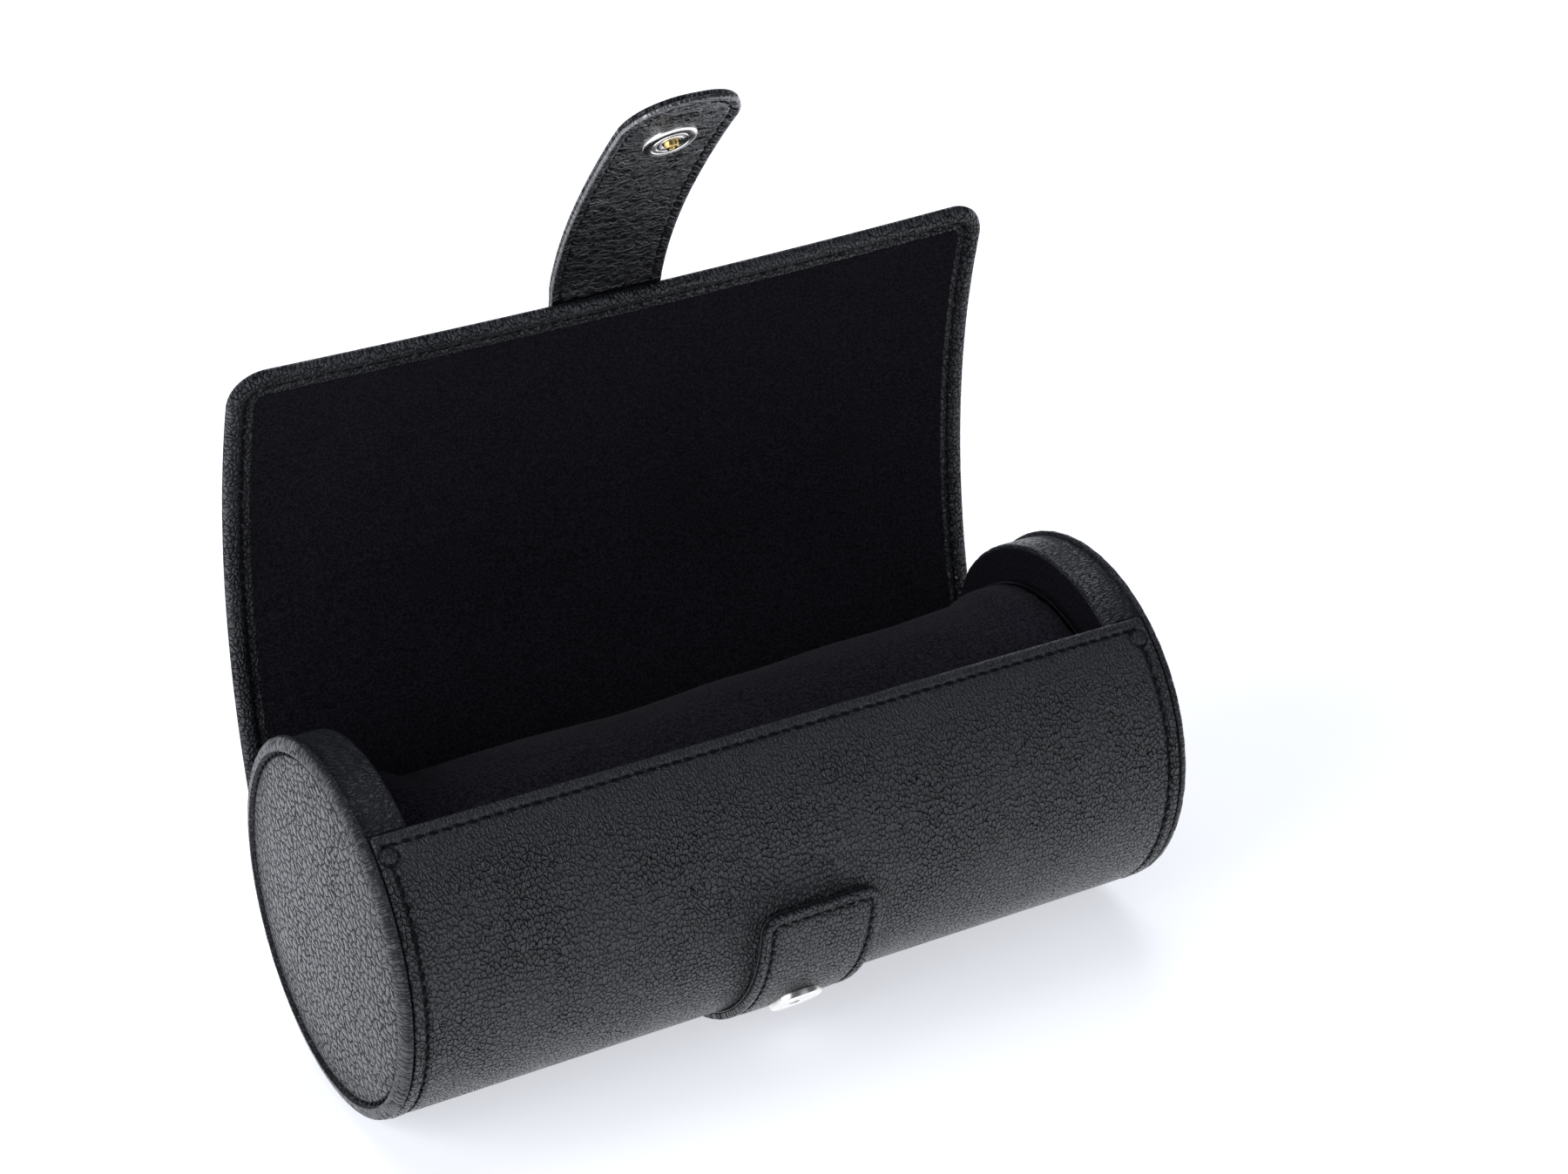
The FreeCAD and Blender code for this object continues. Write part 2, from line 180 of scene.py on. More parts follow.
# ------------------------------------------------------------------ surfaces
class Surface:
    """Curved face that leather is laid on."""

    def place(self, x: float, s: float, h: float) -> Vector:
        """Point in metres for a spot of the flat leather, in mm."""
        raise NotImplementedError

    def axes(self, x: float, s: float, h: float, turn: float) -> Matrix:
        """Local axes at a spot, X along a direction in the leather and Z out of it.

        Args:
            x: across, in mm.
            s: along, in mm.
            h: out of the face, in mm.
            turn: direction in the leather, in radians from across towards along.

        Returns:
            A matrix that places a small shape there.
        """
        step = 0.2
        here = self.place(x, s, h)
        along = self.place(x + step * math.cos(turn), s + step * math.sin(turn), h) - here
        out = self.place(x, s, h + step) - here
        x_axis = along.normalized()
        z_axis = (out - out.dot(x_axis) * x_axis).normalized()
        y_axis = z_axis.cross(x_axis)
        return Matrix.Translation(here) @ Matrix((x_axis, y_axis, z_axis)).transposed().to_4x4()


@dataclass(frozen=True)
class RoundFace(Surface):
    """Outside of the body, from a front angle under the roll to the back."""

    roll: Roll
    start: float
    stands: bool = False

    def place(self, x: float, s: float, h: float) -> Vector:
        """Point on the body, pressed flat on the ground where it stands.

        Args:
            x: across, in mm.
            s: along, in mm.
            h: out of the face, in mm.

        Returns:
            The point, in metres.
        """
        angle = math.radians(self.start) + s / self.roll.radius
        r = self.roll.radius + h
        z = self.roll.axis + r * math.cos(angle)
        if self.stands:
            z = max(z, 0.0)
        return Vector((x, -r * math.sin(angle), z)) * MM


@dataclass(frozen=True)
class Curl(Surface):
    """Sheet that leaves a point with a lean and curls forward in one arc."""

    y: float
    z: float
    lean: float
    turn: float
    length: float

    @property
    def radius(self) -> float:
        """Radius of the arc."""
        return self.length / math.radians(self.turn)

    def place(self, x: float, s: float, h: float) -> Vector:
        """Point on the sheet's arc.

        Args:
            x: across, in mm.
            s: along, in mm.
            h: out of the face, in mm.

        Returns:
            The point, in metres.
        """
        first = math.radians(self.lean)
        centre_y = self.y - math.cos(first) * self.radius
        centre_z = self.z + math.sin(first) * self.radius
        lean = math.radians(self.lean - self.turn * s / self.length)
        r = self.radius + h
        return Vector((x, centre_y + math.cos(lean) * r, centre_z - math.sin(lean) * r)) * MM


@dataclass(frozen=True)
class HideRun(Surface):
    """Body and lid as one run of leather, 0 at the hinge and negative on the body."""

    body: RoundFace
    body_run: float
    lid: Curl
    gap: float = 0.7
    narrow: float = 0.5
    lean_left: float = 2.6
    lean_right: float = 6.0
    sag: float = 2.0

    @property
    def end(self) -> float:
        """Run of the lid's free edge."""
        return self.gap + self.lid.length

    def lean_back(self, x: float, s: float) -> float:
        """How far the lid leans back at a spot because the leather twists, in mm.

        Args:
            x: across, in mm.
            s: up the lid, in mm.

        Returns:
            The distance, to the back.
        """
        share = max(0.0, min(s / self.lid.length, 1.15))
        across = x / self.body.roll.half
        spread = (self.lean_right + self.lean_left) / 2
        middle = (self.lean_right - self.lean_left) / 2
        return (spread * across + middle) * share**2

    def place(self, x: float, s: float, h: float) -> Vector:
        """Point on the body, on the lid, or between them at the hinge.

        Args:
            x: across, in mm.
            s: along, in mm.
            h: out of the face, in mm.

        Returns:
            The point, in metres.
        """
        share = smooth(s, -5.0, 5.7)
        x *= 1 - self.narrow / self.body.roll.half * smooth(s, 0, 15)
        low = self.body.place(x, self.body_run + s, h) if share < 1 else None
        if share <= 0:
            return low
        run = s - self.gap
        edge = x / self.body.roll.half
        run -= self.sag * (1 - edge * edge) * smooth(run, 105, 145)
        high = self.lid.place(x, run, h)
        high.y += self.lean_back(x, run) * MM
        return high if share >= 1 else low.lerp(high, share)


@dataclass(frozen=True)
class BeltRun(Surface):
    """Belt from the tab under the roll, up the lid's back and on as the strap."""

    hide: HideRun
    strap: Curl
    skew: float = 5.5
    bow: float = 1.8
    slim: float = 0.92
    lean: float = 2.6
    lean_from: float = 34.0

    def place(self, x: float, s: float, h: float) -> Vector:
        """Point on the belt's seat, h out of it.

        Args:
            x: across, in mm.
            s: along, in mm.
            h: out of the face, in mm.

        Returns:
            The point, in metres.
        """
        leaves = self.hide.end
        share = smooth(s, leaves - 4, leaves + 4)
        x *= mix(1.0, self.slim, smooth(s, leaves - 40, leaves + 6))
        x -= self.skew * min(max(s / leaves, 0), 1) ** 2
        x -= self.bow * swell((s - leaves) / self.strap.length)
        leant = (s - leaves - self.lean_from) / (self.strap.length - self.lean_from)
        x -= self.lean * max(0.0, leant) ** 2
        low = self.hide.place(x, s, h) if share < 1 else None
        if share <= 0:
            return low
        high = self.strap.place(x, s - leaves, h)
        high.y += self.hide.lean_back(0, leaves) * (1 - smooth(s, leaves, leaves + 60)) * MM
        return high if share >= 1 else low.lerp(high, share)


# ------------------------------------------------------------------ meshes
def finished(name: str, bm: bmesh.types.BMesh, material: bpy.types.Material) -> bpy.types.Object:
    """Object of a finished mesh, with its normals out and its faces smooth up to sharp edges.

    Args:
        name: of the object.
        bm: the mesh, which is freed.
        material: its finish.

    Returns:
        The object, its place in its mesh.
    """
    bmesh.ops.remove_doubles(bm, verts=bm.verts[:], dist=1e-7)
    bmesh.ops.recalc_face_normals(bm, faces=bm.faces[:])
    for face in bm.faces:
        face.smooth = True
    for edge in bm.edges:
        if len(edge.link_faces) == 2 and edge.calc_face_angle() > SHARP:
            edge.smooth = False
    mesh = bpy.data.meshes.new(name)
    bm.to_mesh(mesh)
    bm.free()
    mesh.materials.append(material)
    obj = bpy.data.objects.new(name, mesh)
    bpy.context.scene.collection.objects.link(obj)
    return obj


@dataclass
class Panel:
    """Flat cut of leather with rounded free corners, fine near its free edges."""

    across: tuple[float, float]
    run: tuple[float, float]
    free_sides: bool = True
    free_start: bool = False
    free_end: bool = False
    corner: float = 0.0
    band: float = 9.0
    fine: float = 0.6
    coarse: tuple[float, float] = (3.0, 3.0)

    def cuts(self, low: float, high: float, ends: tuple[bool, bool], coarse: float) -> list[float]:
        """Places of the grid lines between two edges, closer together at a free one.

        Args:
            low: one edge, in mm.
            high: the other, in mm.
            ends: whether each of them is free.
            coarse: distance of the lines away from them, in mm.

        Returns:
            The places in order, with both edges.
        """
        close, last_row = list(EDGE_ROWS), EDGE_ROWS[-1]
        rows = int((self.band - last_row) / self.fine)
        close += [last_row + self.fine * k for k in range(1, rows + 1)]
        start = close if ends[0] else [0.0]
        stop = close if ends[1] else [0.0]
        first, last = low + start[-1], high - stop[-1]
        if last <= first:
            half = [c for c in close if c < (high - low) / 2 - 0.2]
            return [low + c for c in half] + [(low + high) / 2] + [high - c for c in reversed(half)]
        count = max(1, round((last - first) / coarse))
        middle = [first + (last - first) * k / count for k in range(1, count)]
        return [low + c for c in start] + middle + [high - c for c in reversed(stop)]

    def rounded(self, x: float, s: float) -> Spot:
        """Spot moved so that the square corners of the grid become round ones.

        Args:
            x: across, in mm.
            s: along, in mm.

        Returns:
            The moved spot.
        """
        ends = ((self.run[0], 1, self.free_start), (self.run[1], -1, self.free_end))
        for edge_x, way_x in ((self.across[0], 1), (self.across[1], -1)):
            for edge_s, way_s, free in ends:
                if not (free and self.free_sides):
                    continue
                qx = self.corner - (x - edge_x) * way_x
                qs = self.corner - (s - edge_s) * way_s
                if qx <= 0 or qs <= 0:
                    continue
                ring = max(qx, qs)
                turn = math.pi / 4 * qs / qx if qx >= qs else QUARTER - math.pi / 4 * qx / qs
                x = edge_x + way_x * (self.corner - ring * math.cos(turn))
                s = edge_s + way_s * (self.corner - ring * math.sin(turn))
                return x, s
        return x, s

    def edge_distance(self, x: float, s: float) -> float:
        """Distance of a grid spot from the nearest free edge.

        Args:
            x: across, in mm.
            s: along, in mm.

        Returns:
            The distance in mm, large where no edge is free.
        """
        found = [1000.0]
        if self.free_sides:
            found += [x - self.across[0], self.across[1] - x]
        if self.free_start:
            found.append(s - self.run[0])
        if self.free_end:
            found.append(self.run[1] - s)
        return min(found)

    def build(self, name: str, faces: Callable[[float, float, float], tuple[float, float]],
              surface: Surface, material: bpy.types.Material) -> bpy.types.Object:
        """Closed piece of leather laid on a surface.

        Args:
            name: of the object.
            faces: heights of the outer and the inner face for x, s and the distance
                from the free edges.
            surface: what the leather lies on.
            material: its finish.

        Returns:
            The object, its place in its mesh.
        """
        xs = self.cuts(*self.across, (self.free_sides, self.free_sides), self.coarse[0])
        ss = self.cuts(*self.run, (self.free_start, self.free_end), self.coarse[1])
        bm = bmesh.new()
        bmesh.ops.create_grid(bm, x_segments=len(xs) - 1, y_segments=len(ss) - 1, size=1.0)
        thick = bmesh.ops.extrude_face_region(bm, geom=bm.faces[:], use_keep_orig=True)
        for item in thick["geom"]:
            if isinstance(item, bmesh.types.BMVert):
                item.co.z = 1.0
        uv = bm.loops.layers.uv.new(UV_NAME)
        spots = {}
        for vert in bm.verts:
            i = round((vert.co.x + 1) / 2 * (len(xs) - 1))
            j = round((vert.co.y + 1) / 2 * (len(ss) - 1))
            spots[vert] = (xs[i], ss[j])
        for face in bm.faces:
            for loop in face.loops:
                x, s = self.rounded(*spots[loop.vert])
                loop[uv].uv = (x, s)
        for vert in bm.verts:
            x, s = spots[vert]
            inner = vert.co.z > 0.5
            height = faces(x, s, self.edge_distance(x, s))[1 if inner else 0]
            vert.co = surface.place(*self.rounded(x, s), height)
        return finished(name, bm, material)


@dataclass(frozen=True)
class Hinge:
    """Place along a run where one body turns against the next."""

    at: float
    before: str
    after: str
    reach: float


@dataclass(frozen=True)
class Span:
    """Stretch of a run that one piece covers, with the hinge in it or the body it rides."""

    number: int
    low: float
    high: float
    hinge: Hinge | None
    body: str
    last: bool

    @property
    def first(self) -> bool:
        """Whether the run begins with this stretch."""
        return self.number == 0

    def holds(self, stitch: Stitch) -> bool:
        """Whether a stitch falls in this stretch."""
        return self.low <= stitch[1] < self.high

    def carry(self, obj: bpy.types.Object, surface: Surface) -> bpy.types.Object:
        """Make a piece of this stretch move with its body, or bake in its place over its hinge.

        Args:
            obj: the piece.
            surface: what its run lies on.

        Returns:
            The same piece.
        """
        if self.hinge is None:
            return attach(obj, self.body)
        start, end = (surface.place(0, self.hinge.at + way * self.hinge.reach, 0) for way in (-1, 1))
        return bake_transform(obj, self.hinge.before, self.hinge.after, start=tuple(start), end=tuple(end))


def spans(start: float, end: float, hinges: list[Hinge]) -> list[Span]:
    """Stretches of a run, cut before its first hinge and half way between the others.

    Args:
        start: where the run begins.
        end: where it ends.
        hinges: in order along the run.

    Returns:
        One span for each piece.
    """
    cuts = [start, HINGE_CUT]
    cuts += [(a.at + b.at) / 2 for a, b in zip(hinges, hinges[1:])]
    last_half = (hinges[-1].at - hinges[-2].at) / 2
    cuts += [hinges[-1].at + last_half, end]
    made = []
    for number, (low, high) in enumerate(zip(cuts, cuts[1:])):
        inside = [h for h in hinges if low < h.at < high]
        body = hinges[0].before if number == 0 else hinges[-1].after
        hinge = inside[0] if inside else None
        made.append(Span(number, low, high, hinge, body, last=number == len(cuts) - 2))
    return made


@dataclass
class Stitches:
    """Row of lock stitches that lies in a pressed line."""

    pitch: float = 3.4
    length: float = 2.6
    width: float = 0.8
    slant: float = 0.26

    @staticmethod
    def add(bm: bmesh.types.BMesh, shape: Matrix) -> None:
        """Add one stitch, a round thread end to end of its shape's unit box."""
        bmesh.ops.create_uvsphere(bm, u_segments=6, v_segments=5, radius=0.5, matrix=shape)

    def row(self, path: list[Spot]) -> Iterator[Stitch]:
        """Spots and directions of the stitches along a path in the leather.

        Args:
            path: points that the row runs through.

        Returns:
            x, s and direction of one stitch after another.
        """
        left = self.pitch / 2
        for (x0, s0), (x1, s1) in zip(path, path[1:]):
            run = math.hypot(x1 - x0, s1 - s0)
            if run < 1e-9:
                continue
            turn = math.atan2(s1 - s0, x1 - x0)
            while left <= run:
                share = left / run
                yield mix(x0, x1, share), mix(s0, s1, share), turn
                left += self.pitch
            left -= run

    def sew(self, name: str, spots: list[Stitch],
            height: Callable[[float, float], float], surface: Surface,
            material: bpy.types.Material, way: float = 1.0) -> bpy.types.Object | None:
        """Thread of the stitches at the given spots.

        Args:
            name: of the object.
            spots: x, s and direction of each stitch.
            height: of the pressed line's bottom at a spot.
            surface: what the leather lies on.
            material: the thread.
            way: 1 on the outer face and -1 on the inner one.

        Returns:
            The thread, or None where no stitch falls in the piece.
        """
        if not spots:
            return None
        bm = bmesh.new()
        for x, s, turn in spots:
            place = surface.axes(x, s, height(x, s) + way * self.width * 0.3, turn + self.slant)
            size = Matrix.Diagonal((self.length * MM, self.width * MM, self.width * 0.85 * MM, 1))
            self.add(bm, place @ size @ Matrix.Rotation(QUARTER, 4, "Y"))
        return finished(name, bm, material)


def outline(half: float, open_end: float, closed_end: float, inset: float, corner: float) -> list[Spot]:
    """Path inside a panel's sides and one of its ends, with its corners rounded.

    Args:
        half: half the width of the panel.
        open_end: run where the path begins and stops.
        closed_end: run of the end that the path goes round.
        inset: distance from the edges.
        corner: radius of the panel's own corners.

    Returns:
        Points from the left side round to the right one.
    """
    way = 1 if closed_end > open_end else -1
    side, end = half - inset, closed_end - way * inset
    radius = max(corner - inset, 0.4)
    turns = [QUARTER * k / 12 for k in range(13)]
    path = [(-side, open_end)]
    path += [(-side + radius - radius * math.cos(a), end - way * radius + way * radius * math.sin(a))
             for a in turns]
    path += [(side - radius + radius * math.sin(a), end - way * radius + way * radius * math.cos(a))
             for a in turns]
    return path + [(side, open_end)]


def turned(name: str, profile: list[Spot], place: Matrix, steps: int,
           material: bpy.types.Material, loop: bool = False,
           relief: Callable[[float, float, float], float] | None = None,
           round_uv: bool = False) -> bpy.types.Object:
    """Piece turned round its own Z axis from a profile.

    Args:
        name: of the object.
        profile: radius and height of each point, in mm.
        place: where its local axes go, in metres.
        steps: of a full turn.
        material: its finish.
        loop: whether the profile closes on itself, as for a ring.
        relief: extra radius for an angle, radius and height, in mm.
        round_uv: the pattern runs round the piece and not across its face.

    Returns:
        The object, its place in its mesh.
    """
    bm = bmesh.new()
    verts = [bm.verts.new((r, 0, h)) for r, h in profile]
    pairs = list(zip(verts, verts[1:])) + ([(verts[-1], verts[0])] if loop else [])
    edges = [bm.edges.new(pair) for pair in pairs]
    bmesh.ops.spin(bm, geom=verts + edges, cent=(0, 0, 0), axis=(0, 0, 1), angle=FULL_TURN,
                   steps=steps, use_merge=True)
    bmesh.ops.remove_doubles(bm, verts=bm.verts[:], dist=1e-5)
    uv = bm.loops.layers.uv.new(UV_NAME)
    for face in bm.faces:
        middle = face.calc_center_median()
        around = math.atan2(middle.y, middle.x)
        for corner in face.loops:
            co = corner.vert.co
            if round_uv:
                angle = math.atan2(co.y, co.x)
                if co.xy.length < 1e-6:
                    angle = around
                angle = around + (angle - around + math.pi) % FULL_TURN - math.pi
                corner[uv].uv = (angle * ROUND_PATTERN, co.xy.length + co.z)
            else:
                corner[uv].uv = (co.x, co.y)
    for vert in bm.verts:
        co = vert.co
        if relief is not None and co.xy.length > 1e-6:
            extra = relief(math.atan2(co.y, co.x), co.xy.length, co.z)
            co.xy *= 1 + extra / co.xy.length
        vert.co = place @ (co * MM)
    return finished(name, bm, material)


# ------------------------------------------------------------------ finishes
def linear(hex_colour: str, alpha: float = 1.0) -> tuple[float, float, float, float]:
    """Linear colour of an sRGB hex value such as "1b1c1f".

    Args:
        hex_colour: red, green and blue.
        alpha: opacity.

    Returns:
        Red, green, blue and alpha from 0 to 1.
    """
    parts = [int(hex_colour[k:k + 2], 16) / 255 for k in (0, 2, 4)]
    r, g, b = (p / 12.92 if p <= 0.04045 else ((p + 0.055) / 1.055) ** 2.4 for p in parts)
    return r, g, b, alpha


def feed(tree: bpy.types.NodeTree, node: bpy.types.Node, inputs: dict) -> None:
    """Set a node's inputs.

    Args:
        tree: the node tree that they are in.
        node: whose inputs they are.
        inputs: for each, by name or number, a value, a socket or a node, which stands for
            its first output.
    """
    for key, value in inputs.items():
        if isinstance(value, bpy.types.Node):
            value = next(out for out in value.outputs if out.enabled)
        if isinstance(value, bpy.types.NodeSocket):
            tree.links.new(value, node.inputs[key])
        else:
            node.inputs[key].default_value = value


def add_node(tree: bpy.types.NodeTree, kind: str, inputs: dict | None = None,
             **settings: object) -> bpy.types.Node:
    """Add a node with its settings, values and links.

    Args:
        tree: the material's node tree.
        kind: the node's type name.
        inputs: what its inputs are fed.
        settings: attributes of the node.

    Returns:
        The new node.
    """
    made = tree.nodes.new(kind)
    for key, value in settings.items():
        setattr(made, key, value)
    feed(tree, made, inputs or {})
    return made


def new_material(name: str, shader: dict) -> tuple[bpy.types.Material, bpy.types.NodeTree, bpy.types.Node]:
    """New material with the values of its shader's own sockets set.

    Args:
        name: of the material.
        shader: value for each socket.

    Returns:
        The material, its node tree and its shader.
    """
    material = bpy.data.materials.new(name)
    material.use_nodes = True
    tree = material.node_tree
    bsdf = tree.nodes["Principled BSDF"]
    feed(tree, bsdf, shader)
    return material, tree, bsdf


@dataclass(frozen=True)
class Leather:
    """Drum-dyed, finished cowhide: pebbles with thin folds between them.

    The tops of the pebbles are made glossy by handling and the folds stay matt, with painted
    shade in them: a darker colour and less gloss.
    Pebble and depth are real sizes in mm, rates are per mm, and roughness and gloss are given
    on a pebble and in a fold.  Calm is the run over which grain that is pulled flat comes
    back, and the painted sheen is a painted highlight: the change of gloss over the sheen run.
    """

    name: str
    colour: str = "15171c"
    # colour of the folds, darker: painted shade
    fold_shade_colour: str = "08080b"
    pebble: float = 1.35
    stretch: tuple[float, float] = (1.15, 0.82)
    depth: float = 0.33
    valley: float = 0.17
    dome: float = 0.9
    fine: float = 0.5
    wander_rate: float = 0.35
    pore_rate: float = 2.2
    patch_rate: float = 0.045
    roughness: tuple[float, float] = (0.28, 0.75)
    # gloss on a pebble and in a fold; the drop of gloss in a fold is painted shade
    gloss: tuple[float, float] = (0.53, 0.05)
    calm: tuple[float, float] = (-186.0, -172.0)
    # run and gain of a painted sheen, a painted highlight that grows along the run
    sheen_run: tuple[float, float] = (0.0, 1.0)
    polish: tuple[float, float] = (1.0, 1.0)
    sheen: float = 0.02

    def material(self) -> bpy.types.Material:
        """The leather as a material that reads the hide's own map, in mm.

        Returns:
            The new material.
        """
        made, tree, bsdf = new_material(self.name, {"IOR": 1.5, "Sheen Weight": self.sheen,
                                                    "Sheen Roughness": 0.4})
        spot = add_node(tree, "ShaderNodeUVMap", uv_map=UV_NAME)
        run = add_node(tree, "ShaderNodeSeparateXYZ", {"Vector": spot}).outputs["Y"]
        pebble, relief = self.pebbles(tree, spot)
        firm = self.firmness(tree, spot, run)
        pores = add_node(tree, "ShaderNodeTexNoise", {"Vector": spot, "Scale": self.pore_rate,
                                                      "Detail": 3.0, "Roughness": 0.65},
                         noise_dimensions="2D")
        pores_low = add_node(tree, "ShaderNodeMath", {0: pores, 1: 0.35}, operation="MULTIPLY")
        kept = add_node(tree, "ShaderNodeMath", {0: relief, 1: firm, 2: pores_low},
                        operation="MULTIPLY_ADD")
        bump = add_node(tree, "ShaderNodeBump", {"Height": kept, "Strength": 1.0,
                                                 "Distance": self.depth * MM})
        fold = add_node(tree, "ShaderNodeMath", {0: 1.0, 1: pebble}, operation="SUBTRACT")
        sunk = add_node(tree, "ShaderNodeMath", {0: fold, 1: firm}, operation="MULTIPLY",
                        use_clamp=True)
        # painted shade: the folds take the darker fold colour
        tint = add_node(tree, "ShaderNodeMix", {"Factor": sunk, "A": linear(self.colour),
                                                "B": linear(self.fold_shade_colour)}, data_type="RGBA")
        rough = add_node(tree, "ShaderNodeMapRange", {"Value": sunk, "To Min": self.roughness[0],
                                                      "To Max": self.roughness[1]})
        # painted shade: most of the gloss is taken out of the folds
        shine = add_node(tree, "ShaderNodeMapRange", {"Value": sunk, "To Min": self.gloss[0],
                                                      "To Max": self.gloss[1]})
        # painted sheen: the gloss grows over the sheen run, a painted highlight
        sheen_ramp = add_node(tree, "ShaderNodeMapRange",
                           {"Value": run, "From Min": self.sheen_run[0], "From Max": self.sheen_run[1],
                            "To Min": self.polish[0], "To Max": self.polish[1]})
        gloss_with_painted_light = add_node(tree, "ShaderNodeMath", {0: shine, 1: sheen_ramp}, operation="MULTIPLY")
        feed(tree, bsdf, {"Base Color": tint, "Roughness": rough, "Normal": bump,
                          "Specular IOR Level": gloss_with_painted_light})
        return made

    def pebbles(self, tree: bpy.types.NodeTree,
                spot: bpy.types.Node) -> tuple[bpy.types.Node, bpy.types.Node]:
        """Pebbles of the leather and the fine grain on them.

        Args:
            tree: the material's node tree.
            spot: the place in the leather.

        Returns:
            A node that is 1 on a pebble and 0 in a fold, and one for the height.
        """
        wander = add_node(tree, "ShaderNodeTexNoise", {"Vector": spot, "Scale": self.wander_rate,
                                                       "Detail": 3.0, "Roughness": 0.6},
                          noise_dimensions="2D")
        shift = add_node(tree, "ShaderNodeVectorMath",
                         {0: wander.outputs["Color"], 1: (0.5, 0.5, 0.5)}, operation="SUBTRACT")
        bent = add_node(tree, "ShaderNodeVectorMath",
                        {0: shift, 1: (self.pebble * 1.5,) * 3, 2: spot}, operation="MULTIPLY_ADD")
        wide, long = (share / self.pebble for share in self.stretch)
        stretched = add_node(tree, "ShaderNodeVectorMath", {0: bent, 1: (wide, long, 1.0)},
                             operation="MULTIPLY")
        cells, small = (add_node(tree, "ShaderNodeTexVoronoi",
                                 {"Vector": stretched, "Scale": scale, "Randomness": chance},
                                 voronoi_dimensions="2D", feature="DISTANCE_TO_EDGE")
                        for scale, chance in ((1.0, 0.95), (2.3, 1.0)))
        pebble = add_node(tree, "ShaderNodeMapRange",
                          {"Value": cells, "From Min": 0.0, "From Max": self.valley},
                          interpolation_type="SMOOTHERSTEP")
        dome = add_node(tree, "ShaderNodeMapRange",
                        {"Value": cells, "From Min": 0.0, "From Max": 0.42, "To Max": self.dome},
                        interpolation_type="SMOOTHSTEP")
        grain = add_node(tree, "ShaderNodeMapRange",
                         {"Value": small, "From Min": 0.0, "From Max": 0.2, "To Min": -self.fine,
                          "To Max": 0.0}, interpolation_type="SMOOTHSTEP")
        risen = add_node(tree, "ShaderNodeMath", {0: pebble, 1: 0.6, 2: dome},
                         operation="MULTIPLY_ADD")
        return pebble, add_node(tree, "ShaderNodeMath", {0: risen, 1: grain}, operation="ADD")

    def firmness(self, tree: bpy.types.NodeTree, spot: bpy.types.Node,
                 run: bpy.types.NodeSocket) -> bpy.types.Node:
        """How much of the grain stands, in soft patches and less where the hide is pulled.

        Args:
            tree: the material's node tree.
            spot: the place in the leather.
            run: its part along the leather.

        Returns:
            A node that is 1 where all of it stands.
        """
        patch = add_node(tree, "ShaderNodeTexNoise", {"Vector": spot, "Scale": self.patch_rate,
                                                      "Detail": 2.0}, noise_dimensions="2D")
        grown = add_node(tree, "ShaderNodeMapRange", {"Value": patch, "From Min": 0.35, "From Max": 0.65,
                                                      "To Min": 0.76, "To Max": 1.04})
        pulled = add_node(tree, "ShaderNodeMapRange",
                          {"Value": run, "From Min": self.calm[0], "From Max": self.calm[1],
                           "To Min": 0.25, "To Max": 1.0})
        return add_node(tree, "ShaderNodeMath", {0: grown, 1: pulled}, operation="MULTIPLY")


@dataclass(frozen=True)
class Suede:
    """Microsuede, a brushed knit: a short nap that is matt, with a faint bloom at its edges.

    The real nap is about 0.2 mm, too fine to show, and is drawn coarser.  The brush marks are
    a rate per metre.
    """

    name: str
    colour: str = "08070b"
    brushed: str = "24232a"
    nap: float = 0.65
    depth: float = 0.2
    bloom: float = 0.05
    brush_rate: float = 60.0

    def material(self) -> bpy.types.Material:
        """The suede as a material in the part's own coordinates.

        Returns:
            The new material.
        """
        made, tree, bsdf = new_material(self.name, {
            "IOR": 1.4, "Roughness": 0.95, "Specular IOR Level": 0.06, "Sheen Weight": self.bloom,
            "Sheen Roughness": 0.5})
        spot = add_node(tree, "ShaderNodeTexCoord").outputs["Object"]
        fibre = add_node(tree, "ShaderNodeTexNoise", {"Vector": spot, "Scale": 1 / (self.nap * MM),
                                                      "Detail": 4.0, "Roughness": 0.75})
        brush = add_node(tree, "ShaderNodeTexNoise", {"Vector": spot, "Scale": self.brush_rate,
                                                      "Detail": 3.0})
        both = add_node(tree, "ShaderNodeMath", {0: brush, 1: 0.06, 2: fibre},
                        operation="MULTIPLY_ADD")
        share = add_node(tree, "ShaderNodeMapRange", {"Value": both, "From Min": 0.43,
                                                      "From Max": 0.64})
        tint = add_node(tree, "ShaderNodeMix", {"Factor": share, "A": linear(self.colour),
                                                "B": linear(self.brushed)}, data_type="RGBA")
        bump = add_node(tree, "ShaderNodeBump", {"Height": fibre, "Distance": self.depth * MM})
        feed(tree, bsdf, {"Base Color": tint, "Normal": bump})
        return made


@dataclass(frozen=True)
class Solid:
    """Hard or plain material with a fine, uneven surface.

    The noise is the mark of how it was made: polishing, pressing, turning or spinning.  Mark
    and depth are in mm, and marks finer than 0.4 mm are drawn at that size so that they show.
    """

    name: str
    colour: str
    second: str
    roughness: float
    metallic: float = 0.0
    mark: float = 0.5
    depth: float = 0.01
    uneven: float = 0.08
    specular: float = 0.5

    def material(self) -> bpy.types.Material:
        """The material in the part's own coordinates.

        Returns:
            The new material.
        """
        made, tree, bsdf = new_material(self.name, {"Metallic": self.metallic,
                                                    "Specular IOR Level": self.specular})
        spot = add_node(tree, "ShaderNodeTexCoord").outputs["Object"]
        marks = add_node(tree, "ShaderNodeTexNoise", {"Vector": spot, "Scale": 1 / (self.mark * MM),
                                                      "Detail": 4.0})
        tint = add_node(tree, "ShaderNodeMix", {"Factor": marks, "A": linear(self.colour),
                                                "B": linear(self.second)}, data_type="RGBA")
        rough = add_node(tree, "ShaderNodeMapRange", {"Value": marks,
                                                      "To Min": self.roughness - self.uneven,
                                                      "To Max": self.roughness + self.uneven})
        bump = add_node(tree, "ShaderNodeBump", {"Height": marks, "Distance": self.depth * MM})
        feed(tree, bsdf, {"Base Color": tint, "Roughness": rough, "Normal": bump})
        return made


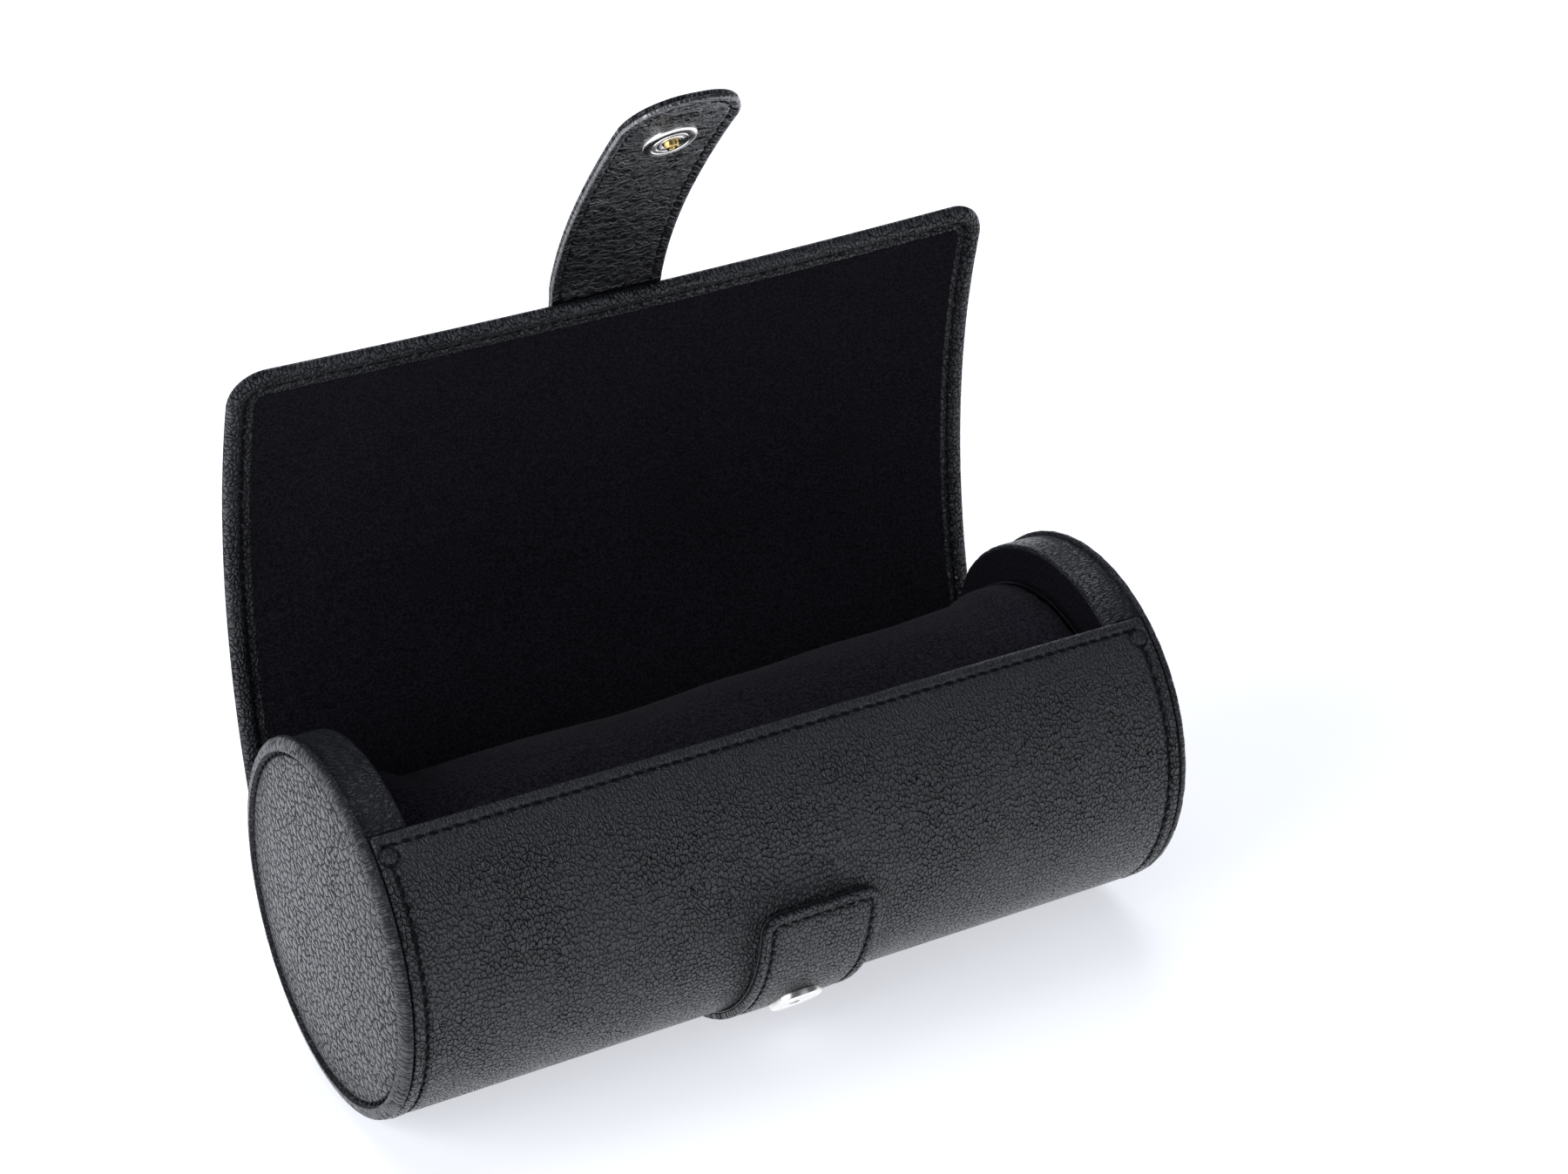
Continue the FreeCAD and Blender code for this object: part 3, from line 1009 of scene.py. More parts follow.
class Finish(Enum):
    """Every finish on the roll."""

    # Embossed, drum-dyed hide of the body, lid and belt: grey glints on black pebbles
    HIDE = Leather("pebbled_cowhide")
    # The same hide drawn over the end boards: wider, flatter pebbles in an even grey light
    CAP_HIDE = Leather("pebbled_cowhide_caps", pebble=2.0, stretch=(0.95, 0.75), valley=0.16,
                       depth=0.55, fine=0.12, gloss=(0.53, 0.12))
    # Thin calf, creased across the strap: darker, with a painted sheen that grows towards the tip
    STRAP_LINING = Leather("creased_calf", colour="0c0d10", pebble=2.2, stretch=(0.4, 1.5),
                           depth=0.13, fine=0.2, roughness=(0.26, 0.42), gloss=(0.9, 0.6),
                           sheen_run=(150.0, 215.0), polish=(0.6, 2.3))
    # Hide pulled round rims and drums: pebbles drawn long and a soft line of light
    RIM_HIDE = Leather("stretched_rim_cowhide", pebble=1.5, stretch=(1.5, 0.5), depth=0.2,
                       gloss=(0.45, 0.3))
    # Bonded microsuede of the lid and body: nearly black and without a glint
    SUEDE_LINING = Suede("microsuede_lining")
    # The same suede on the drums' inner ends, darker: painted shade
    SUEDE_DRUM = Suede("microsuede_drum_shaded", colour="040306", brushed="17161c", bloom=0.02)
    # Thicker knit of the cushion: a coarser nap that shows as a faint grey fuzz, on a ground
    # a little darker than the lining's: painted shade against the light on its top
    SUEDE_CUSHION = Suede("microsuede_cushion", colour="060509", brushed="25242b", nap=0.75,
                          bloom=0.03)
    # The cushion's folded edge: a thin line lighter than the cushion
    CUSHION_FOLD = Suede("microsuede_fold", colour="100f13", brushed="2b2a31")
    # Waxed, spun polyester: dull black, uneven with its twist
    THREAD = Solid("waxed_black_thread", "040405", "0c0c0e", 0.7, mark=0.45, depth=0.05, specular=0.12)
    # Nickel plate, tumbled and polished: bright, with a very slight waviness
    NICKEL = Solid("polished_nickel", "d8d6d2", "e6e4e0", 0.26, 1.0, mark=3.0, depth=0.002, uneven=0.05)
    # Pressed sheet steel: grey and a little duller than the plate
    STEEL = Solid("pressed_steel", "9a9a98", "b4b4b2", 0.34, 1.0, mark=1.0, depth=0.004)
    # Turned brass: warm yellow and bright
    BRASS = Solid("turned_brass", "b79a5e", "d3b97c", 0.24, 1.0, mark=1.5, depth=0.003)
    # Sintered ferrite: dark and matt, like slate
    FERRITE = Solid("sintered_ferrite", "1c1c1e", "262629", 0.75, mark=0.4, depth=0.02)
    # Pressed grey board: matt and flecked
    BOARD = Solid("grey_board", "8d877c", "9c968a", 0.9, mark=0.6, depth=0.03)
    # Pressed fibreboard: brown and matt
    FIBREBOARD = Solid("pressed_fibreboard", "8a7052", "9c8263", 0.85, mark=0.8, depth=0.03)

    def get(self) -> bpy.types.Material:
        """The Blender material, made once."""
        return bpy.data.materials.get(self.value.name) or self.value.material()


# ------------------------------------------------------------------ the hide: body and lid
@dataclass
class Hide:
    """Body leather and lid leather in one run, their lining, seams and front hem."""

    roll: Roll
    run: HideRun
    hinges: list[Hinge]
    front_hem: float = 8.0
    shell: float = 3.0
    body_leather: float = 1.1
    body_seam: float = 3.3
    body_press: float = 0.62
    seam_width: float = 0.62
    lid_thick: float = 2.4
    rim: float = 4.6
    rim_rise: float = 0.75
    lid_seam: float = 4.7
    lid_press: float = 0.55
    hem_press: float = 0.6
    border: float = 7.0
    hem_from: float = 4.0
    lining_thick: float = 0.6
    corner: float = 10.0
    tack_at: tuple[float, float] = (3.2, 5.9)
    tack_ring: float = 2.4
    stitches: Stitches = field(default_factory=Stitches)

    @property
    def start(self) -> float:
        """Run of the body's front edge."""
        return -self.run.body_run

    @property
    def end(self) -> float:
        """Run of the lid's free edge."""
        return self.run.end

    def body_faces(self, x: float, s: float) -> tuple[float, float]:
        """Heights of the body leather's faces, seams pressed in and front edge folded.

        Args:
            x: across, in mm.
            s: along, in mm.

        Returns:
            The outer face and the inner one, in mm out of the surface.
        """
        side = self.roll.half - abs(x)
        front = s - self.start
        edge = min(side, front)
        outer = -rounded_off(edge, 0.85)
        along_front = groove(front - self.body_seam, self.seam_width) * smooth(side, 2.0, 2.6)
        along_side = groove(side - self.body_seam, self.seam_width) * smooth(front, 7.6, 8.4)
        outer -= self.body_press * (along_front + along_side)
        outer -= 0.1 * groove(side - 1.3, 0.25)
        outer += 0.25 * swell(front / self.body_seam) + 0.12 * swell(side / self.body_seam)
        from_tack = math.hypot(side - self.tack_at[0], front - self.tack_at[1])
        outer -= 0.8 * groove(from_tack - self.tack_ring, 0.45)
        outer += 0.1 * math.sin(FULL_TURN * front / self.stitches.pitch) * swell(side / self.body_seam)
        creased = smooth(side, 9, 1) * smooth(side, 0.3, 1.4)
        outer -= 0.16 * fold_line(front / 2.1, side / 7, 4.1) * creased
        fold = mix(self.body_leather, self.shell, smooth(side, 10.4, 11.2))
        inner = mix(-fold, -self.body_leather, smooth(front, 1.2, 1.8))
        inner += rounded_off(front, 1.1)
        return outer, inner

    def lid_faces(self, x: float, s: float, edge: float) -> tuple[float, float]:
        """Heights of the lid leather's faces, with its rolled rim and creased hem.

        Args:
            x: across, in mm.
            s: along, in mm.
            edge: distance from the nearest free edge, in mm.

        Returns:
            The outer face and the inner one, in mm out of the surface.
        """
        along = s if abs(abs(x) - self.roll.half) < self.border else x
        corner = smooth(math.hypot(x - self.roll.half, s - self.end), 42, 12)
        roll = swell(edge / self.rim) * (1 + 0.7 * corner)
        outer = 0.25 * roll - rounded_off(edge, 1.35)
        outer -= self.lid_press * groove(edge - self.lid_seam, self.seam_width)
        inner = -self.lid_thick - self.rim_rise * roll + rounded_off(edge, 1.35)
        inner += self.hem_press * groove(edge - self.lid_seam, self.seam_width)
        hem = smooth(edge, 2.4, 4.4) * smooth(edge, self.border + 0.4, self.border - 0.2)
        slanted = along / mix(2.3, 1.6, corner) + edge * 0.28
        inner += mix(0.22, 0.5, corner) * hem * fold_line(slanted, edge / 9, 2.7, 0.24)
        inner += 0.16 * corner * smooth(edge, 0.4, 2) * fold_line(slanted * 1.2, edge / 6, 8.1)
        recess = smooth(edge, self.border - 0.1, self.border + 0.25)
        inner = mix(inner, -self.lid_thick + self.lining_thick, recess)
        return outer, inner

    def faces(self, x: float, s: float, edge: float) -> tuple[float, float]:
        """Heights of both faces anywhere on the run.

        Args:
            x: across, in mm.
            s: along, in mm.
            edge: distance from the nearest free edge, in mm.

        Returns:
            The outer face and the inner one, in mm out of the surface.
        """
        share = smooth(s, -HINGE_BLEND, HINGE_BLEND)
        side = self.roll.half - abs(x)
        low = self.body_faces(x, s) if share < 1 else (0.0, 0.0)
        high = self.lid_faces(x, s, min(edge, side)) if share > 0 else (0.0, 0.0)
        return mix(low[0], high[0], share), mix(low[1], high[1], share)

    def lining_faces(self, x: float, s: float, edge: float) -> tuple[float, float]:
        """Heights of the suede lining's faces, inside the body and on the lid.

        Args:
            x: across, in mm.
            s: along, in mm.
            edge: distance from the nearest free edge, in mm.

        Returns:
            The outer face and the inner one, in mm out of the surface.
        """
        share = smooth(s, -HINGE_BLEND, HINGE_BLEND)
        outer = mix(-self.shell + 0.7, -self.lid_thick + self.lining_thick + 0.02, share)
        inner = mix(-self.shell, -self.lid_thick + 0.12, share)
        soft = 0.06 * noise.noise(Vector((x / 14, s / 14, 3.3)))
        return outer, inner + rounded_off(edge, 0.3) + soft * smooth(edge, 0, 6)

    def panel(self, span: Span, across: float, corner: float, **sizes: object) -> Panel:
        """Cut of the leather for one stretch, free where the run ends."""
        return Panel((-across, across), (span.low, span.high), free_start=span.first,
                     free_end=span.last, corner=corner, **sizes)

    def build(self) -> None:
        """Leather, lining and thread of every stretch, each on its body or hinge."""
        self.build_leather()
        self.build_lining()
        self.build_thread()
        self.build_front_hem()

    def build_leather(self) -> None:
        """Leather of the body, the hinge and the lid."""
        for span in spans(self.start, self.end, self.hinges):
            coarse = (2.2, 2.2) if span.first else (0.7, 0.7) if span.last else (3.0, 0.8)
            panel = self.panel(span, self.roll.half, 1.2 if span.first else self.corner,
                               coarse=coarse, fine=0.45 if span.first else 0.6)
            name = "body_leather_cover" if span.first else f"lid_leather_cover_{span.number - 1}"
            obj = panel.build(name, self.faces, self.run, Finish.HIDE.get())
            span.carry(obj, self.run)
            if span.first:
                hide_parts("body_leather")
            elif span.number >= 2:
                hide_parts(f"lid_leather_{span.number - 1}", f"lid_board_{span.number - 1}")
            LOG.info("%s: %d faces", obj.name, len(obj.data.polygons))

    def build_lining(self) -> None:
        """Suede lining inside the body and on the lid."""
        across = self.roll.half - self.border
        start, end = self.start + self.front_hem, self.end - self.border
        for span in spans(start, end, self.hinges):
            panel = self.panel(span, across, self.corner - self.border, band=2.5, coarse=(5.0, 2.5))
            name = "body_suede" if span.first else f"lid_suede_{span.number - 1}"
            obj = panel.build(name, self.lining_faces, self.run, Finish.SUEDE_LINING.get())
            span.carry(obj, self.run)
            if span.first:
                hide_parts("body_lining")
            elif span.number >= 2:
                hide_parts(f"lid_lining_{span.number - 1}")

    def build_thread(self) -> None:
        """Seams along the front edge, round the body's ends and round the lid."""
        half = self.roll.half
        body = outline(half, 0.0, self.start, self.body_seam, 0.4)
        lid = outline(half, 0.0, self.end, self.lid_seam, self.corner)
        body_spots = [p for p in self.stitches.row(body) if not self.under_tack(p)]
        lid_spots = list(self.stitches.row(lid))
        for span in spans(self.start, self.end, self.hinges):
            spots = [p for p in body_spots + lid_spots if span.holds(p)]
            name = "body_seam_thread" if span.first else f"lid_seam_thread_{span.number - 1}"
            rows = [(name, spots, 0, 1.0)]
            if not span.first:
                inside = [p for p in lid_spots if span.holds(p) and p[1] > self.hem_from]
                rows.append((f"lid_hem_thread_{span.number - 1}", inside, 1, -1.0))
            for name, kept, side, way in rows:
                obj = self.stitches.sew(
                    name, kept, lambda x, s, side=side: self.faces(x, s, self.edge(x, s))[side],
                    self.run, Finish.THREAD.get(), way)
                if obj is not None:
                    span.carry(obj, self.run)

    def edge(self, x: float, s: float) -> float:
        """Distance from the free edge for a spot in the leather, corners included.

        Args:
            x: across, in mm.
            s: along, in mm.

        Returns:
            The distance in mm.
        """
        side = self.roll.half - abs(x)
        end = self.end - s
        if side < self.corner and end < self.corner:
            return self.corner - math.hypot(self.corner - side, self.corner - end)
        return min(side, end)

    def under_tack(self, stitch: Stitch) -> bool:
        """Whether a corner tack covers this stitch."""
        side, front = self.roll.half - abs(stitch[0]), stitch[1] - self.start
        return math.hypot(side - self.tack_at[0], front - self.tack_at[1]) < self.tack_ring + 0.6

    def build_front_hem(self) -> None:
        """Leather turned in behind the body's front edge."""
        half = self.roll.half
        panel = Panel((-half, half), (self.start + 0.5, self.start + self.front_hem - 0.1), band=2.0,
                      free_start=True, free_end=True, corner=0.4, coarse=(2.0, 1.0))

        def hem(x: float, s: float, edge: float) -> tuple[float, float]:
            """Heights of the hem's faces, with the seam's back in it."""
            sewn = 0.2 * groove(s - self.start - self.body_seam, 0.4)
            return -self.shell + 0.72, -self.shell - 0.02 + rounded_off(edge, 0.3) + sewn

        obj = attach(panel.build("front_hem", hem, self.run, Finish.RIM_HIDE.get()), "case")
        seam, far = self.start + self.body_seam, half - 12
        row = list(self.stitches.row([(-far, seam), (far, seam)]))
        sewn = self.stitches.sew("front_hem_thread", row, lambda x, s: -self.shell + 0.16, self.run,
                                 Finish.THREAD.get(), -1.0)
        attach(sewn, "case")


# ------------------------------------------------------------------ belt and strap
@dataclass
class Belt:
    """Belt and strap: outer leather sewn to a thinner inner one, tab to strap tip."""

    roll: Roll
    run: BeltRun
    hinges: list[Hinge]
    half: float = 17.0
    tab_angle: float = 90.0
    snap_angle: float = 135.0
    snap_reach: float = 7.2
    tab_corner: float = 5.0
    tip: float = 15.5
    seam: float = 2.8
    seam_press: float = 0.5
    seam_width: float = 0.6
    body_seam: float = 0.8
    body_top: float = 2.6
    strap_split: float = 1.2
    strap_top: float = 2.4
    stitches: Stitches = field(default_factory=lambda: Stitches(pitch=3.2, length=2.5, width=0.75))

    @property
    def start(self) -> float:
        """Run of the tab's end."""
        return -math.radians(360 - HINGE_ANGLE - self.tab_angle) * self.roll.radius

    @property
    def snap(self) -> float:
        """Run of the snap's middle."""
        return self.start + math.radians(self.snap_angle - self.tab_angle) * self.roll.radius

    @property
    def leaves(self) -> float:
        """Run where the belt leaves the lid and is the strap."""
        return self.run.hide.end

    @property
    def end(self) -> float:
        """Run of the strap's tip."""
        return self.leaves + self.run.strap.length

    def levels(self, s: float) -> tuple[float, float]:
        """Heights of the seam between the two leathers and of the top face."""
        share = smooth(s, -8, 8)
        return mix(self.body_seam, self.strap_split, share), mix(self.body_top, self.strap_top, share)

    def outer_faces(self, x: float, s: float, edge: float) -> tuple[float, float]:
        """Heights of the outer leather's faces.

        Args:
            x: not used.
            s: along, in mm.
            edge: distance from the nearest free edge, in mm.

        Returns:
            The outer face and the inner one, in mm out of the surface.
        """
        split, top = self.levels(s)
        outer = top - rounded_off(edge, 0.8)
        outer -= self.seam_press * groove(edge - self.seam, self.seam_width)
        outer += 0.16 * smooth(edge, self.seam, self.seam + 3) + 0.08 * swell(edge / self.seam)
        return outer, split + 0.02 + rounded_off(edge, 0.2)

    def inner_faces(self, x: float, s: float, edge: float) -> tuple[float, float]:
        """Heights of the inner leather's faces, creased across on the strap.

        Args:
            x: across, in mm.
            s: along, in mm.
            edge: distance from the nearest free edge, in mm.

        Returns:
            The outer face and the inner one, in mm out of the surface.
        """
        split, _ = self.levels(s)
        inner = 0.02 + rounded_off(edge, 0.5)
        strap = smooth(s, 140, 150)
        pressed = self.seam_press * groove(edge - self.seam, self.seam_width)
        inner += strap * (pressed - 0.25 * swell(edge / self.seam))
        inner += strap * 0.22 * fold_line(s / 1.7, x / 15, 5.2, 0.26) * smooth(edge, 0.4, 2)
        inner += strap * 0.16 * fold_line(s / 3.6 + x / 60, x / 22, 9.4, 0.2) * smooth(edge, 0.4, 2)
        return split - 0.02 - rounded_off(edge, 0.2), inner

    def build(self) -> None:
        """Both leathers and the thread of every stretch."""
        for span in spans(self.start, self.end, self.hinges):
            corner = self.tip if span.last else self.tab_corner
            coarse = (1.2, 0.8 if span.high > self.leaves else 2.0)
            for layer, faces, finish, slot in (
                    ("outer", self.outer_faces, Finish.HIDE, "leather_black"),
                    ("inner", self.inner_faces, Finish.STRAP_LINING, "leather_inner")):
                panel = Panel((-self.half, self.half), (span.low, span.high), free_start=span.first,
                              free_end=span.last, corner=corner, band=6.0, coarse=coarse)
                obj = panel.build(self.name(span, layer), faces, self.run, finish.get())
                span.carry(obj, self.run)
                self.stand_for(span, layer)
            self.sew(span)
        LOG.info("belt and strap: %d stretches", len(self.hinges) + 2)

    def name(self, span: Span, layer: str) -> str:
        """Name of a piece, from where it lies.

        Args:
            span: its stretch.
            layer: outer or inner.

        Returns:
            The name.
        """
        if span.first:
            return f"belt_{layer}_body"
        if span.high <= self.leaves:
            return f"belt_{layer}_lid_{span.number - 1}"
        return f"strap_{layer}_cover_{span.number - 7}"

    def stand_for(self, span: Span, layer: str) -> None:
        """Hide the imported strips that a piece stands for.

        Args:
            span: its stretch.
            layer: outer or inner.
        """
        if span.first:
            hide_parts("belt_leather" if layer == "outer" else "belt_backing")
        elif 2 <= span.number <= 7 and layer == "outer":
            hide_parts(f"lid_belt_{span.number - 1}")
        elif span.number >= 8:
            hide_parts(f"strap_{layer}_{span.number - 7}")

    def edge(self, x: float, s: float) -> float:
        """Distance of a spot in the belt from its nearest free edge.

        Args:
            x: across, in mm.
            s: along, in mm.

        Returns:
            The distance in mm.
        """
        side = self.half - abs(x)
        for far, corner in ((self.end - s, self.tip), (s - self.start, self.tab_corner)):
            if side < corner and far < corner:
                return corner - math.hypot(corner - side, corner - far)
            side = min(side, far)
        return side

    def sew(self, span: Span) -> None:
        """Thread of one stretch, outside along the whole belt and inside on the strap.

        Args:
            span: the stretch.
        """
        middle = (self.start + self.end) / 2
        tab = outline(self.half, middle, self.start, self.seam, self.tab_corner)
        tip = outline(self.half, middle, self.end, self.seam, self.tip)
        spots = [p for path in (tab, tip) for p in self.stitches.row(path)
                 if span.holds(p) and not self.under_snap(p)]
        for layer, kept, level, way in (
                ("outer", spots, lambda x, s: self.outer_faces(x, s, self.edge(x, s))[0], 1.0),
                ("inner", [p for p in spots if p[1] > self.leaves],
                 lambda x, s: self.inner_faces(x, s, self.edge(x, s))[1], -1.0)):
            obj = self.stitches.sew(f"belt_thread_{layer}_{span.number}", kept, level, self.run,
                                    Finish.THREAD.get(), way)
            if obj is not None:
                span.carry(obj, self.run)

    def under_snap(self, stitch: Stitch) -> bool:
        """Whether the snap on the belt covers this stitch."""
        return math.hypot(stitch[0], stitch[1] - self.snap) < self.snap_reach


# ------------------------------------------------------------------ end caps
class End(Enum):
    """The two ends of the roll."""

    LEFT = -1
    RIGHT = 1

    @property
    def label(self) -> str:
        """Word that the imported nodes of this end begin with."""
        return self.name.lower()


@dataclass
class Cap:
    """End cap: face with a rolled rim, and the drum inside the roll."""

    roll: Roll
    end: End
    face: float = 2.0
    crown: float = 1.3
    bead: float = 4.4
    bead_rise: float = 0.75
    pressed: float = 0.75
    drum_round: float = 1.1
    drum_proud: float = 1.9
    thread_low: float = 0.42
    stitches: Stitches = field(default_factory=lambda: Stitches(pitch=3.3, length=2.6, width=0.75))

    @property
    def place(self) -> Matrix:
        """Local axes of the cap, Z outwards along the roll."""
        turn = Matrix.Rotation(QUARTER * self.end.value, 4, "Y")
        return Matrix.Translation((0, 0, self.roll.axis * MM)) @ turn

    @property
    def seam(self) -> float:
        """Radius of the seam between the face and its rim."""
        return self.roll.radius - self.bead

    def face_profile(self) -> list[Spot]:
        """Section of the face, from its middle down into the seam and back inside.

        Returns:
            Radius and height of each point.
        """
        back = self.roll.face_back
        top = back + self.face
        points = [(0.0, top + self.crown)]
        for k in range(1, 15):
            r = (self.seam - 1.6) * k / 14
            points.append((r, top + self.crown * (1 - (r / self.seam) ** 3)))
        for r in (1.2, 0.9, 0.6, 0.35, 0.15, 0.0):
            points.append((self.seam - r, top - self.pressed * groove(r, 0.52)))
        return points + [(self.seam, back), (0.0, back)]

    def rim_profile(self) -> list[Spot]:
        """Section of the rolled rim, from the seam over its crown to its side.

        Returns:
            Radius and height of each point.
        """
        back = self.roll.face_back
        top = back + self.face
        rim = self.roll.radius - 0.1
        low = top - 1.35
        points = [(self.seam - 0.05, back + 0.1), (self.seam - 0.05, top - self.pressed - 0.05)]
        points += [(self.seam + r, top - self.pressed * groove(r, 0.52)) for r in (0.15, 0.35)]
        span = rim - self.seam - 0.5
        for k in range(1, 13):
            a = QUARTER * k / 12
            points.append((self.seam + 0.5 + span * math.sin(a) ** 1.15,
                           low + (self.bead_rise + 1.35) * max(math.cos(a), 0.0) ** 0.8))
        return points + [(rim, back + 0.3), (rim - 0.25, back + 0.05), (self.seam, back + 0.05)]

    def drum_profile(self) -> list[Spot]:
        """Section of the drum's leather, a closed loop.

        Returns:
            Radius and height of each point.
        """
        back, front = self.roll.face_back, self.roll.drum_inner + 0.45
        r, soft = self.roll.drum, self.drum_round
        points = [(r, back), (r, back - 3), (r, back - 6)]
        for k in range(7):
            a = QUARTER * k / 6
            points.append((r - soft * (1 - math.cos(a)), front + soft * (1 - math.sin(a))))
        return points + [(r - 4, front), (r - 8.9, front), (r - 8.9, front + 0.8),
                         (r - 1.2, front + 0.9), (r - 1.2, back)]

    def proud(self, angle: float, radius: float, height: float) -> float:
        """How far the drum stands up to the body's leather, all but where the lid turns.

        Args:
            angle: round the cap, in radians.
            radius: from its middle, in mm.
            height: not used.

        Returns:
            The extra radius, in mm.
        """
        back = math.degrees(math.atan2(math.sin(angle), -self.end.value * math.cos(angle)))
        clear = smooth(back, 52, 76) * (1 - smooth(back, 107, 112))
        return self.drum_proud * (1 - clear) * smooth(radius, self.roll.drum - 9, self.roll.drum - 3)

    def creased(self, angle: float, radius: float, height: float) -> float:
        """Creases across the drum's rim, where the leather is pulled over the edge.

        Args:
            angle: round the cap, in radians.
            radius: from its middle, in mm.
            height: along the roll, in mm.

        Returns:
            The extra radius, in mm.
        """
        stand = self.proud(angle, radius, height)
        if radius < self.roll.drum - 2.5:
            return stand
        along = angle * self.roll.drum
        fade = 0.16 * smooth(height, self.roll.face_back, self.roll.face_back - 3)
        return stand - fade * fold_line(along / 1.5, height / 6, 7.7 + self.end.value, 0.26)

    def gathered(self, angle: float, radius: float, height: float) -> float:
        """Small gathers round the rolled rim, a stitch apart.

        Args:
            angle: round the cap, in radians.
            radius: from its middle, in mm.
            height: along the roll, in mm.

        Returns:
            The extra radius, in mm.
        """
        along, back = angle * self.roll.radius, self.roll.face_back
        share = smooth(radius, self.seam + 0.6, self.seam + 2) * smooth(height, back, back + 1)
        return -share * (0.05 + 0.05 * math.sin(along / self.stitches.pitch * math.pi)
                         + 0.08 * fold_line(along / 2.6, height / 4, 3.1 + self.end.value, 0.22))

    def build(self) -> None:
        """Face, rim, thread, drum leather and lining of the cap."""
        label = self.end.label
        self.build_face(label)
        self.build_thread(label)
        self.build_drum(label)

    def build_face(self, label: str) -> None:
        """Face of the cap and the rolled rim round it.

        Args:
            label: word that the names of this end's pieces begin with.
        """
        face = turned(f"{label}_cap_face", self.face_profile(), self.place, 160, Finish.CAP_HIDE.get())
        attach(face, "case")
        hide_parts(f"{label}_face_leather")
        strip = turned(f"{label}_cap_rim", self.rim_profile(), self.place, 320, Finish.RIM_HIDE.get(),
                       loop=True, relief=self.gathered, round_uv=True)
        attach(strip, "case")
        LOG.info("%s: %d faces", face.name, len(face.data.polygons))

    def build_thread(self, label: str) -> None:
        """Stitches between the face and its rim, one beside the other round the seam.

        Args:
            label: word that the names of this end's pieces begin with.
        """
        stitch = self.stitches
        count = round(FULL_TURN * self.seam / stitch.pitch)
        level = self.roll.face_back + self.face - self.thread_low
        seat = Matrix.Translation(Vector((self.seam, 0, level)) * MM)
        size = Matrix.Diagonal((stitch.width * MM, stitch.length * MM, stitch.width * MM, 1))
        shape = Matrix.Rotation(stitch.slant, 4, "Z") @ size @ Matrix.Rotation(QUARTER, 4, "X")
        bm = bmesh.new()
        for k in range(count):
            turn = Matrix.Rotation(FULL_TURN * k / count, 4, "Z")
            stitch.add(bm, self.place @ turn @ seat @ shape)
        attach(finished(f"{label}_cap_thread", bm, Finish.THREAD.get()), "case")

    def build_drum(self, label: str) -> None:
        """Leather round the drum inside the roll and the suede on its inner end.

        Args:
            label: word that the names of this end's pieces begin with.
        """
        rim = turned(f"{label}_drum_leather", self.drum_profile(), self.place, 288,
                     Finish.RIM_HIDE.get(), loop=True, relief=self.creased, round_uv=True)
        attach(rim, "case")
        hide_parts(f"{label}_drum_rim_leather")
        inner, edge = self.roll.drum_inner, self.roll.drum - 1.1
        profile = [(0, inner), (edge - 6, inner), (edge - 0.3, inner + 0.02), (edge, inner + 0.2),
                   (edge, inner + 0.5), (0, inner + 0.5)]
        # the drum's suede is a darker copy of the lining: painted shade
        lining = turned(f"{label}_drum_suede", profile, self.place, 96, Finish.SUEDE_DRUM.get(),
                        relief=self.proud)
        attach(lining, "case")
        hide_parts(f"{label}_drum_lining")
        LOG.info("%s: %d faces", rim.name, len(rim.data.polygons))


